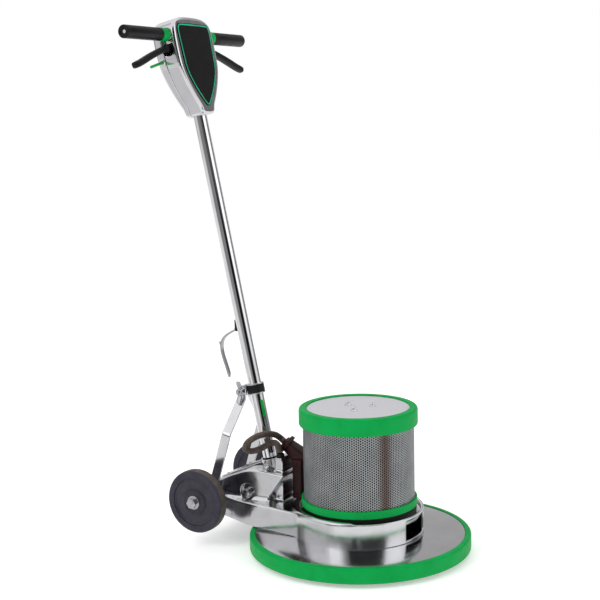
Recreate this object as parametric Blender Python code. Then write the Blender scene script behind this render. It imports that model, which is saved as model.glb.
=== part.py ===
"""Rotary floor machine of the 17-inch class, with a planetary drive, transport wheels and a handle.

+X runs forward from the handle to the disc and +Z is up. The origin lies on the underside of the pad, on the
motor's axis.
"""

import math

import bmesh
import bpy
from mathutils import Matrix, Vector

# ---- driving dimensions, in metres ----
GAP = 0.0003  # running gap between neighbours
LARGE, MEDIUM, SMALL, TINY = 48, 28, 16, 12  # sides of round pieces, by size

BUMPER_R = 0.235  # 470 mm over the bumper
APRON_R = 0.2225
APRON_EDGE_Z = 0.0402
APRON_TOP_Z = 0.0442
PAD_R = 0.203
PAD_T = 0.0200

RING_R = 0.1355  # drum of the main casting
RING_INNER_R = 0.1290
RING_BASE_Z = 0.0447
RING_TOP_Z = 0.0965
SHELF_Z = 0.0800  # shelf that carries the motor
SHELF_TOP_Z = 0.0860
SHELF_R = 0.1000
WINDOW_HALF_ANGLE = math.radians(18.5)

MOTOR_BASE_R = 0.1205
LOWER_BAND_R = 0.1225
COVER_R = 0.1170
TOP_BAND_R = 0.1250
TOP_PLATE_R = 0.1082
BAND_BASE_Z = 0.1030
COVER_BASE_Z = 0.1189
TOP_BAND_Z = 0.2755
MOTOR_TOP_Z = 0.3113
STUD_CIRCLE_R = 0.031
STUD_ANGLES = (40, 160, 280)

SUN_TEETH = 11
PLANET_TEETH = 43
RING_TEETH = 97
MODULE = 0.00125
GEAR_BASE_Z = 0.0570
GEAR_TOP_Z = 0.0755
TOOTH_SHARE = 0.42  # tooth thickness over circular pitch: the rest is backlash
PRESSURE_ANGLE = math.radians(20)

AXLE = Vector((-0.325, 0.0, 0.0995))
AXLE_R = 0.00635
WHEEL_R = 0.0690
WHEEL_W = 0.0270
WHEEL_Y = 0.1310
TYRE_BORE_R = 0.0522

LEAN = math.radians(11.7)  # the handle leans back
FOOT = Vector((-0.218, 0.0, 0.176))  # where the tube leaves its socket
UP_TUBE = Vector((-math.sin(LEAN), 0.0, math.cos(LEAN)))
AHEAD = Vector((math.cos(LEAN), 0.0, math.sin(LEAN)))
TUBE_R = 0.0145
TUBE_BORE_R = 0.0128
PIVOT = Vector((-0.240, 0.0, 0.110))
PIVOT_R = 0.0063
SLOT_HALF = 0.0235
CHEEK_HALF = 0.0650

CLAMP_T = (0.328 - FOOT.z) / math.cos(LEAN)  # collar's place along the tube
CLAMP_BACK = -0.0240  # clamp bolt behind the tube's axis
CLAMP_BOLT_R = 0.0040
ARM_Y = 0.0760
ARM_W = 0.0210
ARM_T = 0.0050
ARM_BEND = Vector((-0.281, ARM_Y, 0.238))
ARM_TOP_Y = 0.0195
EYE_R = 0.0160
EYE_HOLE_R = AXLE_R + 0.0031  # room for the opened pivot

HEAD_T = (0.915 - FOOT.z) / math.cos(LEAN)
SEAM_N = -0.0083
HEAD_WALL = 0.0032
REAR_SHARE = 0.55  # how much of its depth the back of the head keeps at the lower end
REAR_TAPER_T = 0.150  # height at which it has its whole depth
BAR_T = HEAD_T + 0.1797
BAR_N = 0.0050
BAR_R = 0.0105
BAR_HALF = 0.2190
GRIP_R = 0.0138
GRIP_FROM = 0.0985
GRIP_TO = 0.2225
COLLAR_R = 0.0143
COLLAR_FROM = 0.0765
LEVER_PIVOT_Y = 0.0600
LEVER_PIVOT_T = HEAD_T + 0.1495
LEVER_N = 0.0030
LEVER_W = 0.0170
LEVER_DEEP = 0.0140
PIN_FALL = math.radians(14)
GLAND_T = HEAD_T + 0.070
GLAND_FACE = 0.0313  # distance of its nut behind the tube's axis

LEAD_R = 0.0068
LEAD_ROUTE = (
    (-0.1749, -0.0118, 0.2193),
    (-0.1828, -0.0138, 0.2263),
    (-0.1890, -0.0270, 0.2360),
    (-0.1970, -0.0500, 0.2415),
    (-0.2095, -0.0695, 0.2390),
    (-0.2235, -0.0800, 0.2285),
    (-0.2305, -0.0810, 0.2165),
    (-0.2290, -0.0750, 0.2080),
    (-0.2208, -0.0660, 0.2055),
    (-0.2087, -0.0560, 0.2095),
    (-0.1988, -0.0470, 0.2155),
    (-0.1905, -0.0395, 0.2195),
    (-0.1830, -0.0355, 0.2200),
    (-0.1760, -0.0347, 0.2135),
    (-0.1714, -0.0345, 0.2008),
)
GROMMET = Vector((-0.1712, -0.0345, 0.1900))

MATERIALS = {
    "polished_aluminium": ((0.78, 0.78, 0.80), 0.18, 1.0),
    "chrome": ((0.82, 0.82, 0.84), 0.08, 1.0),
    "steel": ((0.55, 0.55, 0.57), 0.35, 1.0),
    "green_rubber": ((0.0, 0.38, 0.08), 0.6, 0.0),
    "black_plastic": ((0.02, 0.02, 0.02), 0.45, 0.0),
    "dark_brown": ((0.035, 0.01, 0.012), 0.5, 0.0),
    "tyre": ((0.045, 0.04, 0.055), 0.7, 0.0),
    "wheel": ((0.03, 0.028, 0.04), 0.5, 0.0),
    "perforated_steel": ((0.55, 0.54, 0.52), 0.35, 1.0),
    "top_plate": ((0.70, 0.69, 0.72), 0.4, 0.6),
    "copper": ((0.50, 0.20, 0.08), 0.4, 1.0),
    "lamination": ((0.25, 0.25, 0.26), 0.5, 1.0),
    "pad": ((0.45, 0.03, 0.03), 0.95, 0.0),
    "driver": ((0.05, 0.05, 0.05), 0.6, 0.0),
    "cable": ((0.08, 0.05, 0.045), 0.55, 0.0),
}


# ---- tools ----
def clear_scene():
    for obj in list(bpy.data.objects):
        bpy.data.objects.remove(obj, do_unlink=True)


def make_materials():
    for name, (color, roughness, metallic) in MATERIALS.items():
        mat = bpy.data.materials.new(name)
        mat.use_nodes = True
        shader = mat.node_tree.nodes["Principled BSDF"]
        shader.inputs["Base Color"].default_value = (*color, 1.0)
        shader.inputs["Roughness"].default_value = roughness
        shader.inputs["Metallic"].default_value = metallic


def add(name, bm, material, origin=(0.0, 0.0, 0.0), smooth=True):
    """Turn a closed world-space bmesh into a named object with its origin on its joint's axis."""
    origin = Vector(origin)
    bmesh.ops.remove_doubles(bm, verts=bm.verts, dist=1e-6)
    bmesh.ops.recalc_face_normals(bm, faces=bm.faces)
    bmesh.ops.translate(bm, verts=bm.verts, vec=-origin)
    mesh = bpy.data.meshes.new(name)
    bm.to_mesh(mesh)
    bm.free()
    mesh.materials.append(bpy.data.materials[material])
    if smooth:
        mesh.shade_smooth()
        mesh.set_sharp_from_angle(angle=math.radians(35))
    obj = bpy.data.objects.new(name, mesh)
    bpy.context.scene.collection.objects.link(obj)
    obj.location = origin
    return obj


def apply_boolean(obj, bm, operation):
    """Join or cut an object with a closed world-space bmesh, and bake the result."""
    tool = add("tool", bm, "steel", smooth=False)
    bpy.context.view_layer.update()
    modifier = obj.modifiers.new("boolean", "BOOLEAN")
    modifier.operation = operation
    modifier.object = tool
    graph = bpy.context.evaluated_depsgraph_get()
    mesh = bpy.data.meshes.new_from_object(obj.evaluated_get(graph))
    obj.modifiers.clear()
    old = obj.data
    mesh.name = old.name
    obj.data = mesh
    bpy.data.meshes.remove(old)
    bpy.data.objects.remove(tool, do_unlink=True)
    return obj


def unite(obj, bm):
    return apply_boolean(obj, bm, "UNION")


def cut(obj, bm):
    return apply_boolean(obj, bm, "DIFFERENCE")


def turn(bm, direction, centre):
    """Carry a bmesh built about +Z to a centre, its +Z along a direction."""
    rotation = Vector((0, 0, 1)).rotation_difference(Vector(direction)).to_matrix().to_4x4()
    bm.transform(Matrix.Translation(Vector(centre)) @ rotation)
    return bm


def ring_loop(bm, radius, z, segments):
    if radius == 0:
        return [bm.verts.new((0, 0, z))]
    step = 2 * math.pi / segments
    angles = [k * step for k in range(segments)]
    return [bm.verts.new((radius * math.cos(a), radius * math.sin(a), z)) for a in angles]


def bridge(bm, a, b):
    """Faces between two loops of equal length, or between a loop and a single point."""
    count = max(len(a), len(b))
    for k in range(count):
        j = (k + 1) % count
        corners = [a[k % len(a)], a[j % len(a)], b[j % len(b)], b[k % len(b)]]
        face = list(dict.fromkeys(corners))
        bm.faces.new(face)


def turned(profile, segments, closed=True):
    """Solid of revolution about +Z from (radius, z) points; closed=True is a ring's whole section."""
    bm = bmesh.new()
    loops = [ring_loop(bm, r, z, segments) for r, z in profile]
    for a, b in zip(loops, loops[1:]):
        bridge(bm, a, b)
    if closed:
        bridge(bm, loops[-1], loops[0])
    return bm


def spindle(profile, segments):
    """Solid of revolution whose profile starts and ends on the axis."""
    first, last = profile[0], profile[-1]
    points = [(0, first[1])] + list(profile) + [(0, last[1])]
    return turned(points, segments, closed=False)


def rod(a, b, radius, segments=SMALL):
    a, b = Vector(a), Vector(b)
    return turn(spindle([(radius, 0), (radius, (b - a).length)], segments), b - a, a)


def tube(a, b, outer, inner, segments=SMALL):
    a, b = Vector(a), Vector(b)
    length = (b - a).length
    return turn(turned([(inner, 0), (outer, 0), (outer, length), (inner, length)], segments), b - a, a)


def loft(sections):
    """Closed body through equal-length loops of points, capped at both ends."""
    bm = bmesh.new()
    loops = [[bm.verts.new(p) for p in section] for section in sections]
    for a, b in zip(loops, loops[1:]):
        bridge(bm, a, b)
    bm.faces.new(loops[0])
    bm.faces.new(loops[-1])
    return bm


def slab(outline, low, high, axis="Z"):
    """Extrude a flat outline: (x, y) along Z, or (x, z) along Y."""
    if axis == "Z":
        return loft([[(a, b, h) for a, b in outline] for h in (low, high)])
    return loft([[(a, h, b) for a, b in outline] for h in (low, high)])


def box(low, high):
    (x0, y0, z0), (x1, y1, z1) = low, high
    return slab([(x0, y0), (x1, y0), (x1, y1), (x0, y1)], z0, z1)


def sector(r_in, r_out, half_angle, z0, z1, steps=10):
    """Part of a ring, centred on +X."""
    angles = [half_angle * (2 * k / steps - 1) for k in range(steps + 1)]
    outer = [(r_out * math.cos(a), r_out * math.sin(a)) for a in angles]
    inner = [(r_in * math.cos(a), r_in * math.sin(a)) for a in reversed(angles)]
    return slab(outer + inner, z0, z1)


def on_tube(t, n, y=0.0):
    """Point at t along the handle from its foot, n ahead of its axis and y to the side."""
    p = FOOT + UP_TUBE * t + AHEAD * n
    return Vector((p.x, y, p.z))


def smooth_route(points, per_span):
    """Points of a Catmull-Rom curve through the given ones."""
    p = [Vector(q) for q in points]
    p = [2 * p[0] - p[1]] + p + [2 * p[-1] - p[-2]]
    out = []
    for k in range(1, len(p) - 2):
        for s in range(per_span):
            u = s / per_span
            a = 2 * p[k] + (p[k + 1] - p[k - 1]) * u
            b = (2 * p[k - 1] - 5 * p[k] + 4 * p[k + 1] - p[k + 2]) * u * u
            c = (3 * p[k] - p[k - 1] - 3 * p[k + 1] + p[k + 2]) * u * u * u
            out.append((a + b + c) / 2)
    return out + [p[-2]]


def mirror_y(bm):
    bm.transform(Matrix.Scale(-1, 4, (0, 1, 0)))
    return bm


# ---- disc, bumper and pad ----
def make_disc():
    skirt = 0.0025
    apron = [
        (0.1100, APRON_TOP_Z),
        (0.1100, APRON_TOP_Z - skirt),
        (0.1400, APRON_TOP_Z - skirt),
        (APRON_R - skirt, APRON_EDGE_Z - skirt),
        (APRON_R - skirt, 0.0125),
        (APRON_R, 0.0125),
        (APRON_R, APRON_EDGE_Z),
        (0.1400, APRON_TOP_Z),
    ]
    add("apron_disc", turned(apron, LARGE), "polished_aluminium")
    bumper = [
        (APRON_R + GAP, 0.0090),
        (BUMPER_R - 0.0025, 0.0090),
        (BUMPER_R, 0.0120),
        (BUMPER_R, 0.0365),
        (BUMPER_R - 0.0050, 0.0415),
        (APRON_R + GAP, 0.0415),
    ]
    add("bumper_ring", turned(bumper, LARGE), "green_rubber")


def make_pad():
    top = PAD_T + GAP
    driver = [
        (0.1980, top),
        (0.2000, top + 0.002),
        (0.2000, top + 0.0090),
        (0.0520, top + 0.0110),
        (0.0520, 0.0385),
        (0.0435, 0.0385),
        (0.0435, top + 0.0110),
    ]
    add("pad_driver", spindle(driver, LARGE), "driver")
    pad = [(PAD_R - 0.001, 0.0), (PAD_R, 0.001), (PAD_R, PAD_T - 0.001), (PAD_R - 0.001, PAD_T)]
    add("floor_pad", spindle(pad, LARGE), "pad")


# ---- planetary gearbox ----
def tooth_loop(teeth, addendum, dedendum, share, phase, inward=False):
    """Outline of a spur gear with straight-flanked teeth; inward=True gives the ring gear's opening."""
    pitch_r = teeth * MODULE / 2
    half = share * math.pi * MODULE / 2
    slope = math.tan(PRESSURE_ANGLE)
    low, high = pitch_r - dedendum * MODULE, pitch_r + addendum * MODULE
    if inward:
        half = (1 - share) * math.pi * MODULE / 2
    points = []
    for k in range(teeth):
        middle = phase + 2 * math.pi * k / teeth
        for r, side in ((low, -1), (high, -1), (high, 1), (low, 1)):
            angle = middle + side * (half - (r - pitch_r) * slope) / r
            points.append((r * math.cos(angle), r * math.sin(angle)))
    return points


def gear_with_hole(outline, hole_r, hole_segments, z0, z1):
    """Toothed plate with a round hole, built as one closed body."""
    bm = bmesh.new()
    rims = []
    for z in (z0, z1):
        outer = [bm.verts.new((x, y, z)) for x, y in outline]
        inner = ring_loop(bm, hole_r, z, hole_segments)
        edges = [bm.edges.new((loop[k - 1], loop[k])) for loop in (outer, inner) for k in range(len(loop))]
        bmesh.ops.triangle_fill(bm, edges=edges, use_beauty=True)
        rims.append((outer, inner))
    for a, b in zip(*rims):
        bridge(bm, a, b)
    return bm


def planet_centre(k):
    radius = (SUN_TEETH + PLANET_TEETH) * MODULE / 2
    angle = 2 * math.pi * k / 3
    return Vector((radius * math.cos(angle), radius * math.sin(angle), 0.0)), angle


def make_gearbox():
    case = [
        (0.0215, 0.0405),
        (0.0740, 0.0405),
        (0.0740, 0.0765),
        (SHELF_R - 0.0005, 0.0765),
        (SHELF_R - 0.0005, SHELF_TOP_Z),
        (0.0670, SHELF_TOP_Z),
        (0.0670, 0.0459),
        (0.0215, 0.0459),
    ]
    add("gear_case", turned(case, LARGE), "polished_aluminium")
    opening = tooth_loop(RING_TEETH, 1.05, 0.70, TOOTH_SHARE, 0.0, inward=True)
    ring = gear_with_hole(opening, 0.0667, LARGE, GEAR_BASE_Z, GEAR_TOP_Z)
    add("ring_gear", ring, "steel")

    hub_r, disc_r, pin_r = 0.0205, 0.0460, 0.0055
    carrier = [
        (hub_r, 0.0335),
        (hub_r, 0.0468),
        (disc_r, 0.0468),
        (disc_r, 0.0560),
    ]
    body = add("planet_carrier", spindle(carrier, MEDIUM), "steel")
    for k in range(3):
        centre, angle = planet_centre(k)
        pin_top = centre + Vector((0, 0, GEAR_TOP_Z + 0.0015))
        unite(body, rod(centre + Vector((0, 0, 0.0540)), pin_top, pin_r, TINY))
        lug = box((0.010, -0.008, 0.0335), (0.0405, 0.008, 0.0384))
        lug.transform(Matrix.Rotation(angle, 4, "Z"))
        unite(body, lug)
    for k in range(3):
        centre, angle = planet_centre(k)
        phase = (angle * SUN_TEETH + (angle + math.pi) * PLANET_TEETH - math.pi) / PLANET_TEETH
        outline = tooth_loop(PLANET_TEETH, 0.80, 1.05, TOOTH_SHARE, phase)
        planet = gear_with_hole(outline, pin_r + GAP, TINY, GEAR_BASE_Z, GEAR_TOP_Z)
        planet.transform(Matrix.Translation(centre))
        add(f"planet_gear_{k + 1}", planet, "steel", origin=centre)


# ---- motor ----
def make_rotor():
    shaft_r, core_r = 0.0095, 0.0455
    pinion = slab(tooth_loop(SUN_TEETH, 0.80, 1.05, TOOTH_SHARE, 0.0), GEAR_BASE_Z, GEAR_TOP_Z + 0.0015)
    rotor = add("motor_rotor", pinion, "steel")
    stack = [
        (shaft_r, GEAR_TOP_Z + 0.0010),
        (shaft_r, 0.1280),
        (core_r, 0.1280),
        (core_r, 0.2220),
        (shaft_r, 0.2220),
        (shaft_r, 0.2740),
    ]
    unite(rotor, spindle(stack, SMALL))

    hub_r, tip_r, low, high = 0.0200, 0.0700, 0.2500, 0.2640
    fan_ring = [(shaft_r + GAP, low), (hub_r, low), (hub_r, high), (shaft_r + GAP, high)]
    fan = add("cooling_fan", turned(fan_ring, SMALL), "driver")
    rim = hub_r - 0.002
    plate = turned([(rim, low), (tip_r, low), (tip_r, low + 0.002), (rim, low + 0.002)], MEDIUM)
    unite(fan, plate)
    blades = 8
    for k in range(blades):
        blade = box((hub_r - 0.002, -0.001, low + 0.0005), (tip_r - 0.001, 0.001, high))
        blade.transform(Matrix.Rotation(2 * math.pi * (k + 0.25) / blades, 4, "Z"))
        unite(fan, blade)


def make_motor():
    base = [
        (0.0102, SHELF_TOP_Z + GAP),
        (MOTOR_BASE_R, SHELF_TOP_Z + GAP),
        (MOTOR_BASE_R, BAND_BASE_Z - GAP),
        (MOTOR_BASE_R - 0.006, BAND_BASE_Z - GAP),
        (0.0400, 0.0980),
        (0.0240, 0.1100),
        (0.0102, 0.1100),
    ]
    add("motor_base", turned(base, LARGE), "black_plastic")
    stator = [(0.0465, 0.1300), (0.0850, 0.1300), (0.0850, 0.2200), (0.0465, 0.2200)]
    core = add("stator_core", turned(stator, MEDIUM), "lamination")
    coil = [(0.0520, 0.1140), (0.0780, 0.1140), (0.0800, 0.1290), (0.0500, 0.1290)]
    head = [(0.0500, 0.2210), (0.0800, 0.2210), (0.0780, 0.2390), (0.0520, 0.2390)]
    winding = add("stator_winding", turned(coil, MEDIUM), "copper")
    unite(winding, turned(head, MEDIUM))
    slots = 6
    for k in range(slots):
        turn_z = Matrix.Rotation(2 * math.pi * k / slots, 4, "Z")
        slot = box((0.0560, -0.0060, 0.1200), (0.0740, 0.0060, 0.2300))
        slot.transform(turn_z)
        cut(core, slot)
        bar = box((0.0565, -0.0055, 0.1250), (0.0735, 0.0055, 0.2260))
        bar.transform(turn_z)
        unite(winding, bar)

    bell_low, bell_high = 0.2675, 0.2745
    hub = [(0.0102, bell_low), (0.0400, bell_low), (0.0400, bell_high), (0.0102, bell_high)]
    bell = add("end_bell", turned(hub, MEDIUM), "polished_aluminium")
    rim = [(0.1060, bell_low), (0.1150, bell_low), (0.1150, bell_high), (0.1060, bell_high)]
    arms = 3
    spokes = turned(rim, LARGE)
    unite(bell, spokes)
    for k in range(arms):
        spoke = box((0.0350, -0.0080, bell_low), (0.1100, 0.0080, bell_high))
        spoke.transform(Matrix.Rotation(2 * math.pi * k / arms, 4, "Z"))
        unite(bell, spoke)

    wall = 0.0012
    cover = [
        (COVER_R - wall, BAND_BASE_Z),
        (COVER_R, BAND_BASE_Z),
        (COVER_R, 0.3000),
        (COVER_R - wall, 0.3000),
    ]
    add("perforated_cover", turned(cover, LARGE), "perforated_steel")
    lower = [
        (COVER_R + GAP, BAND_BASE_Z),
        (LOWER_BAND_R, BAND_BASE_Z),
        (LOWER_BAND_R, COVER_BASE_Z - GAP),
        (COVER_R + GAP, COVER_BASE_Z - GAP),
    ]
    add("lower_band", turned(lower, LARGE), "green_rubber")
    lip_r = TOP_PLATE_R + GAP
    top = [
        (COVER_R + GAP, TOP_BAND_Z),
        (TOP_BAND_R, TOP_BAND_Z),
        (TOP_BAND_R, MOTOR_TOP_Z - 0.004),
        (TOP_BAND_R - 0.005, MOTOR_TOP_Z),
        (lip_r, MOTOR_TOP_Z),
        (lip_r, 0.3008),
        (COVER_R + GAP, 0.3008),
    ]
    add("top_band", turned(top, LARGE), "green_rubber")
    plate = add("top_plate", spindle([(TOP_PLATE_R, 0.3060), (TOP_PLATE_R, 0.3085)], LARGE), "top_plate")
    for number, degrees in enumerate(STUD_ANGLES, 1):
        angle = math.radians(degrees)
        x, y = STUD_CIRCLE_R * math.cos(angle), STUD_CIRCLE_R * math.sin(angle)
        cut(plate, rod((x, y, 0.3000), (x, y, 0.3200), 0.0036, TINY))
        nut = [
            (0.0030, bell_high + GAP),
            (0.0030, 0.3088),
            (0.0062, 0.3088),
            (0.0062, 0.3128),
            (0.0052, 0.3150),
            (0.0030, 0.3162),
        ]
        add(f"dome_nut_{number}", turn(spindle(nut, TINY), (0, 0, 1), (x, y, 0)), "chrome")


# ---- main casting ----
def body_half_width(x):
    """Half width of the casting's tail at plate level, forward to back."""
    stations = ((-0.020, 0.1325), (-0.087, 0.1090), (-0.2155, 0.0890), (-0.290, 0.0722), (-0.352, 0.0660))
    for (x0, y0), (x1, y1) in zip(stations, stations[1:]):
        if x1 <= x <= x0:
            return y0 + (y1 - y0) * (x - x0) / (x1 - x0)
    return stations[-1][1]


def tail_outline(inset, back):
    """Plan of the tail, set in from its flanks and its back end."""
    stations = (-0.020, -0.087, -0.150, -0.2155, -0.290, back)
    side = [(x, body_half_width(x) - inset) for x in stations]
    return side + [(x, -y) for x, y in reversed(side)]


def tail_underside(x):
    """The underside rises behind the disc."""
    return RING_BASE_Z if x > -0.230 else RING_BASE_Z + (-0.230 - x) * 0.12


def make_casting():
    back = -0.352
    low = [(x, y, tail_underside(x)) for x, y in tail_outline(0.0, back)]
    mid = [(x, y, 0.0840) for x, y in tail_outline(0.0, back)]
    high = [(x, y, 0.0940) for x, y in tail_outline(0.0080, back + 0.004)]
    casting = add("main_casting", loft([low, mid, high]), "polished_aluminium")
    cheek = [
        (-0.350, 0.0700),
        (-0.350, 0.1080),
        (-0.338, 0.1220),
        (-0.311, 0.1330),
        (-0.245, 0.1600),
        (-0.222, 0.1640),
        (-0.147, 0.1580),
        (-0.186, 0.1050),
        (-0.186, 0.0700),
    ]
    unite(casting, slab(cheek, -CHEEK_HALF, CHEEK_HALF, "Y"))
    upstand = [(-0.180, 0.080), (-0.180, 0.190), (-0.164, 0.190), (-0.161, 0.182), (-0.161, 0.080)]
    unite(casting, slab(upstand, -0.0445, 0.0445, "Y"))
    cut(casting, slab(tail_outline(0.0075, -0.300), 0.0, 0.0780))
    cut(casting, box((-0.2880, -SLOT_HALF, 0.0), (-0.1812, SLOT_HALF, 0.30)))
    cut(casting, box((-0.1514, -0.0245, 0.0972), (-0.1000, 0.0245, 0.30)))
    drum = rod((0, 0, 0.0), (0, 0, 0.40), (RING_R + RING_INNER_R) / 2, LARGE)
    cut(casting, drum)
    ring = [
        (RING_R, RING_BASE_Z),
        (RING_R, 0.0915),
        (0.1340, 0.0955),
        (0.1318, RING_TOP_Z),
        (RING_INNER_R, 0.0950),
        (RING_INNER_R, SHELF_TOP_Z),
        (SHELF_R, SHELF_TOP_Z),
        (SHELF_R, SHELF_Z),
        (RING_INNER_R, SHELF_Z),
        (RING_INNER_R, RING_BASE_Z),
    ]
    unite(casting, turned(ring, LARGE))
    cut(casting, sector(RING_INNER_R - 0.0003, 0.150, WINDOW_HALF_ANGLE, 0.0495, 0.0895))
    reach = Vector((0, 0.12, 0))
    cut(casting, rod(PIVOT - reach, PIVOT + reach, PIVOT_R + GAP, SMALL))
    cut(casting, rod(AXLE - reach, AXLE + reach, AXLE_R + GAP, SMALL))
    recess = Vector((-0.2380, 0, 0.1130))
    for side in (-1, 1):
        y0, y1 = side * (CHEEK_HALF - 0.007), side * (CHEEK_HALF + 0.02)
        cut(casting, rod(recess + Vector((0, y0, 0)), recess + Vector((0, y1, 0)), 0.0175, SMALL))
    cut(casting, rod(GROMMET - Vector((0, 0, 0.022)), GROMMET + Vector((0, 0, 0.01)), 0.0071, TINY))

    slope = Vector((0.066, 0, 0.027)).normalized()
    normal = Vector((-slope.z, 0, slope.x))
    start = Vector((-0.3105, 0, 0.1332)) + normal * GAP
    end = start + slope * 0.0640
    section = [start, end, end + normal * 0.003, start + normal * 0.003]
    cover = slab([(p.x, p.z) for p in section], -0.0540, 0.0540, "Y")
    plate = add("rear_cover", cover, "polished_aluminium", smooth=False)
    cut(plate, box((-0.2880, -SLOT_HALF, 0.0), (-0.1, SLOT_HALF, 0.30)))


def make_pivot_and_axle():
    bolt = spindle([(0.0110, -0.0705), (0.0110, -0.0590), (PIVOT_R, -0.0590), (PIVOT_R, 0.0605)], SMALL)
    add("pivot_bolt", turn(bolt, (0, 1, 0), PIVOT), "steel", origin=PIVOT)
    half = WHEEL_Y + WHEEL_W / 2 + 0.0015
    reach = Vector((0, half, 0))
    axle = add("axle", rod(AXLE - reach, AXLE + reach, AXLE_R, SMALL), "steel", origin=AXLE)
    for side, name in ((-1, "axle_bolt_right"), (1, "axle_bolt_left")):
        out = Vector((0, side, 0))
        face = AXLE + out * half
        cut(axle, rod(face - out * 0.014, face + out * 0.002, 0.0036, TINY))
        washer = [(0.0033, -0.0130), (0.0033, GAP), (0.0150, GAP), (0.0150, 0.0020)]
        bolt = add(name, turn(spindle(washer, SMALL), out, face), "steel", origin=AXLE)
        head = turn(spindle([(0.0118, 0.0015), (0.0118, 0.0100), (0.0098, 0.0120)], 6), out, face)
        unite(bolt, head)


def make_wheels():
    half = WHEEL_W / 2
    boss_r, rim_r = 0.0270, TYRE_BORE_R - GAP
    bore = AXLE_R + 0.0006
    hub = [
        (bore, -half - 0.001),
        (boss_r - 0.001, -half - 0.001),
        (boss_r, -half + 0.003),
        (rim_r - 0.002, -half + 0.003),
        (rim_r, -half + 0.0015),
        (rim_r, half - 0.0015),
        (rim_r - 0.002, half - 0.003),
        (boss_r, half - 0.003),
        (boss_r - 0.001, half + 0.001),
        (bore, half + 0.001),
    ]
    tyre = [
        (TYRE_BORE_R, -half + 0.0005),
        (WHEEL_R - 0.003, -half),
        (WHEEL_R - 0.0005, -half + 0.0025),
        (WHEEL_R, 0.0),
        (WHEEL_R - 0.0005, half - 0.0025),
        (WHEEL_R - 0.003, half),
        (TYRE_BORE_R, half - 0.0005),
    ]
    for side, name in ((-1, "right"), (1, "left")):
        centre = AXLE + Vector((0, side * WHEEL_Y, 0))
        out = (0, side, 0)
        add(f"wheel_hub_{name}", turn(turned(hub, MEDIUM), out, centre), "wheel", origin=centre)
        add(f"tyre_{name}", turn(turned(tyre, MEDIUM), out, centre), "tyre", origin=centre)


# ---- electrical box and motor lead ----
def make_box_and_lead():
    low, high = Vector((-0.1510, -0.0240, 0.0975)), Vector((-0.1262, 0.0240, 0.1840))
    wall = 0.0030
    junction = add("junction_box", box(low, high), "dark_brown", smooth=False)
    inner_low = low + Vector((wall, wall, -wall))
    inner_high = high - Vector((wall, wall, wall))
    cut(junction, box(inner_low, inner_high))
    capacitor = spindle([(0.0085, 0.1000), (0.0085, 0.1720), (0.0070, 0.1740)], SMALL)
    capacitor.transform(Matrix.Translation(Vector(((low.x + high.x) / 2, 0.0, 0.0))))
    add("start_capacitor", capacitor, "black_plastic")

    exit_point = Vector(LEAD_ROUTE[0])
    along = Vector((-0.74, -0.18, 0.65)).normalized()
    across = along.cross(Vector((0, 1, 0))).normalized()
    side = across.cross(along).normalized()
    face = exit_point - along * 0.0008

    def square(distance, half_side, half_across):
        centre = face - along * distance
        signs = ((-1, -1), (1, -1), (1, 1), (-1, 1))
        return [centre + side * half_side * a + across * half_across * b for a, b in signs]

    relief = loft([square(0.056, 0.0170, 0.0165), square(0.0, 0.0110, 0.0110)])
    relief = add("strain_relief", relief, "dark_brown")
    unite(relief, loft([square(0.0130, 0.0165, 0.0165), square(0.0040, 0.0155, 0.0155)]))
    margin = Vector((GAP, GAP, GAP))
    cut(relief, box(low - margin, high + margin))
    cut(relief, rod((0, 0, 0), (0, 0, 0.4), LOWER_BAND_R + 0.0015, LARGE))

    curve = bpy.data.curves.new("motor_lead", "CURVE")
    curve.dimensions = "3D"
    curve.bevel_depth = LEAD_R
    curve.bevel_resolution = 2
    curve.use_fill_caps = True
    route = smooth_route(LEAD_ROUTE, 2)
    spline = curve.splines.new("POLY")
    spline.points.add(len(route) - 1)
    for point, place in zip(spline.points, route):
        point.co = (*place, 1.0)
    curve.materials.append(bpy.data.materials["cable"])
    lead = bpy.data.objects.new("motor_lead", curve)
    bpy.context.scene.collection.objects.link(lead)

    grommet = [(0.0068, -0.0200), (0.0068, GAP), (0.0092, GAP), (0.0092, 0.0040), (0.0072, 0.0084)]
    add("lead_grommet", turn(spindle(grommet, TINY), (0, 0, 1), GROMMET), "black_plastic")


# ---- handle ----
def make_handle_foot():
    socket_r = 0.0190
    socket = rod(on_tube(-0.070, 0), on_tube(-0.002, 0), socket_r, MEDIUM)
    socket = add("handle_socket", socket, "polished_aluminium", PIVOT)
    half = Vector((0, 0.0200, 0))
    unite(socket, rod(PIVOT - half, PIVOT + half, 0.0170, SMALL))
    web = ((-0.0740, -0.040), (-0.0740, 0.005), (-0.0450, 0.005), (-0.0450, -0.040))
    corners = [on_tube(t, n) for t, n in web]
    unite(socket, slab([(p.x, p.z) for p in corners], -0.0160, 0.0160, "Y"))
    cut(socket, rod(on_tube(-0.048, 0), on_tube(0.02, 0), TUBE_R + GAP, SMALL))
    cut(socket, rod(PIVOT - half * 2, PIVOT + half * 2, PIVOT_R + GAP, SMALL))
    pipe = tube(on_tube(-0.0475, 0), on_tube(HEAD_T + 0.050, 0), TUBE_R, TUBE_BORE_R, SMALL)
    add("handle_tube", pipe, "chrome", PIVOT)


def strip(path, width_axis, width, thickness):
    """Flat bar along a path of points; width_axis is constant, and the thickness is square to both."""
    sections = []
    width_axis = Vector(width_axis).normalized()
    for k, point in enumerate(path):
        ahead = path[min(k + 1, len(path) - 1)] - path[max(k - 1, 0)]
        normal = width_axis.cross(ahead).normalized()
        w, n = width_axis * width / 2, normal * thickness / 2
        sections.append([point - w - n, point + w - n, point + w + n, point - w + n])
    return loft(sections)


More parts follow.
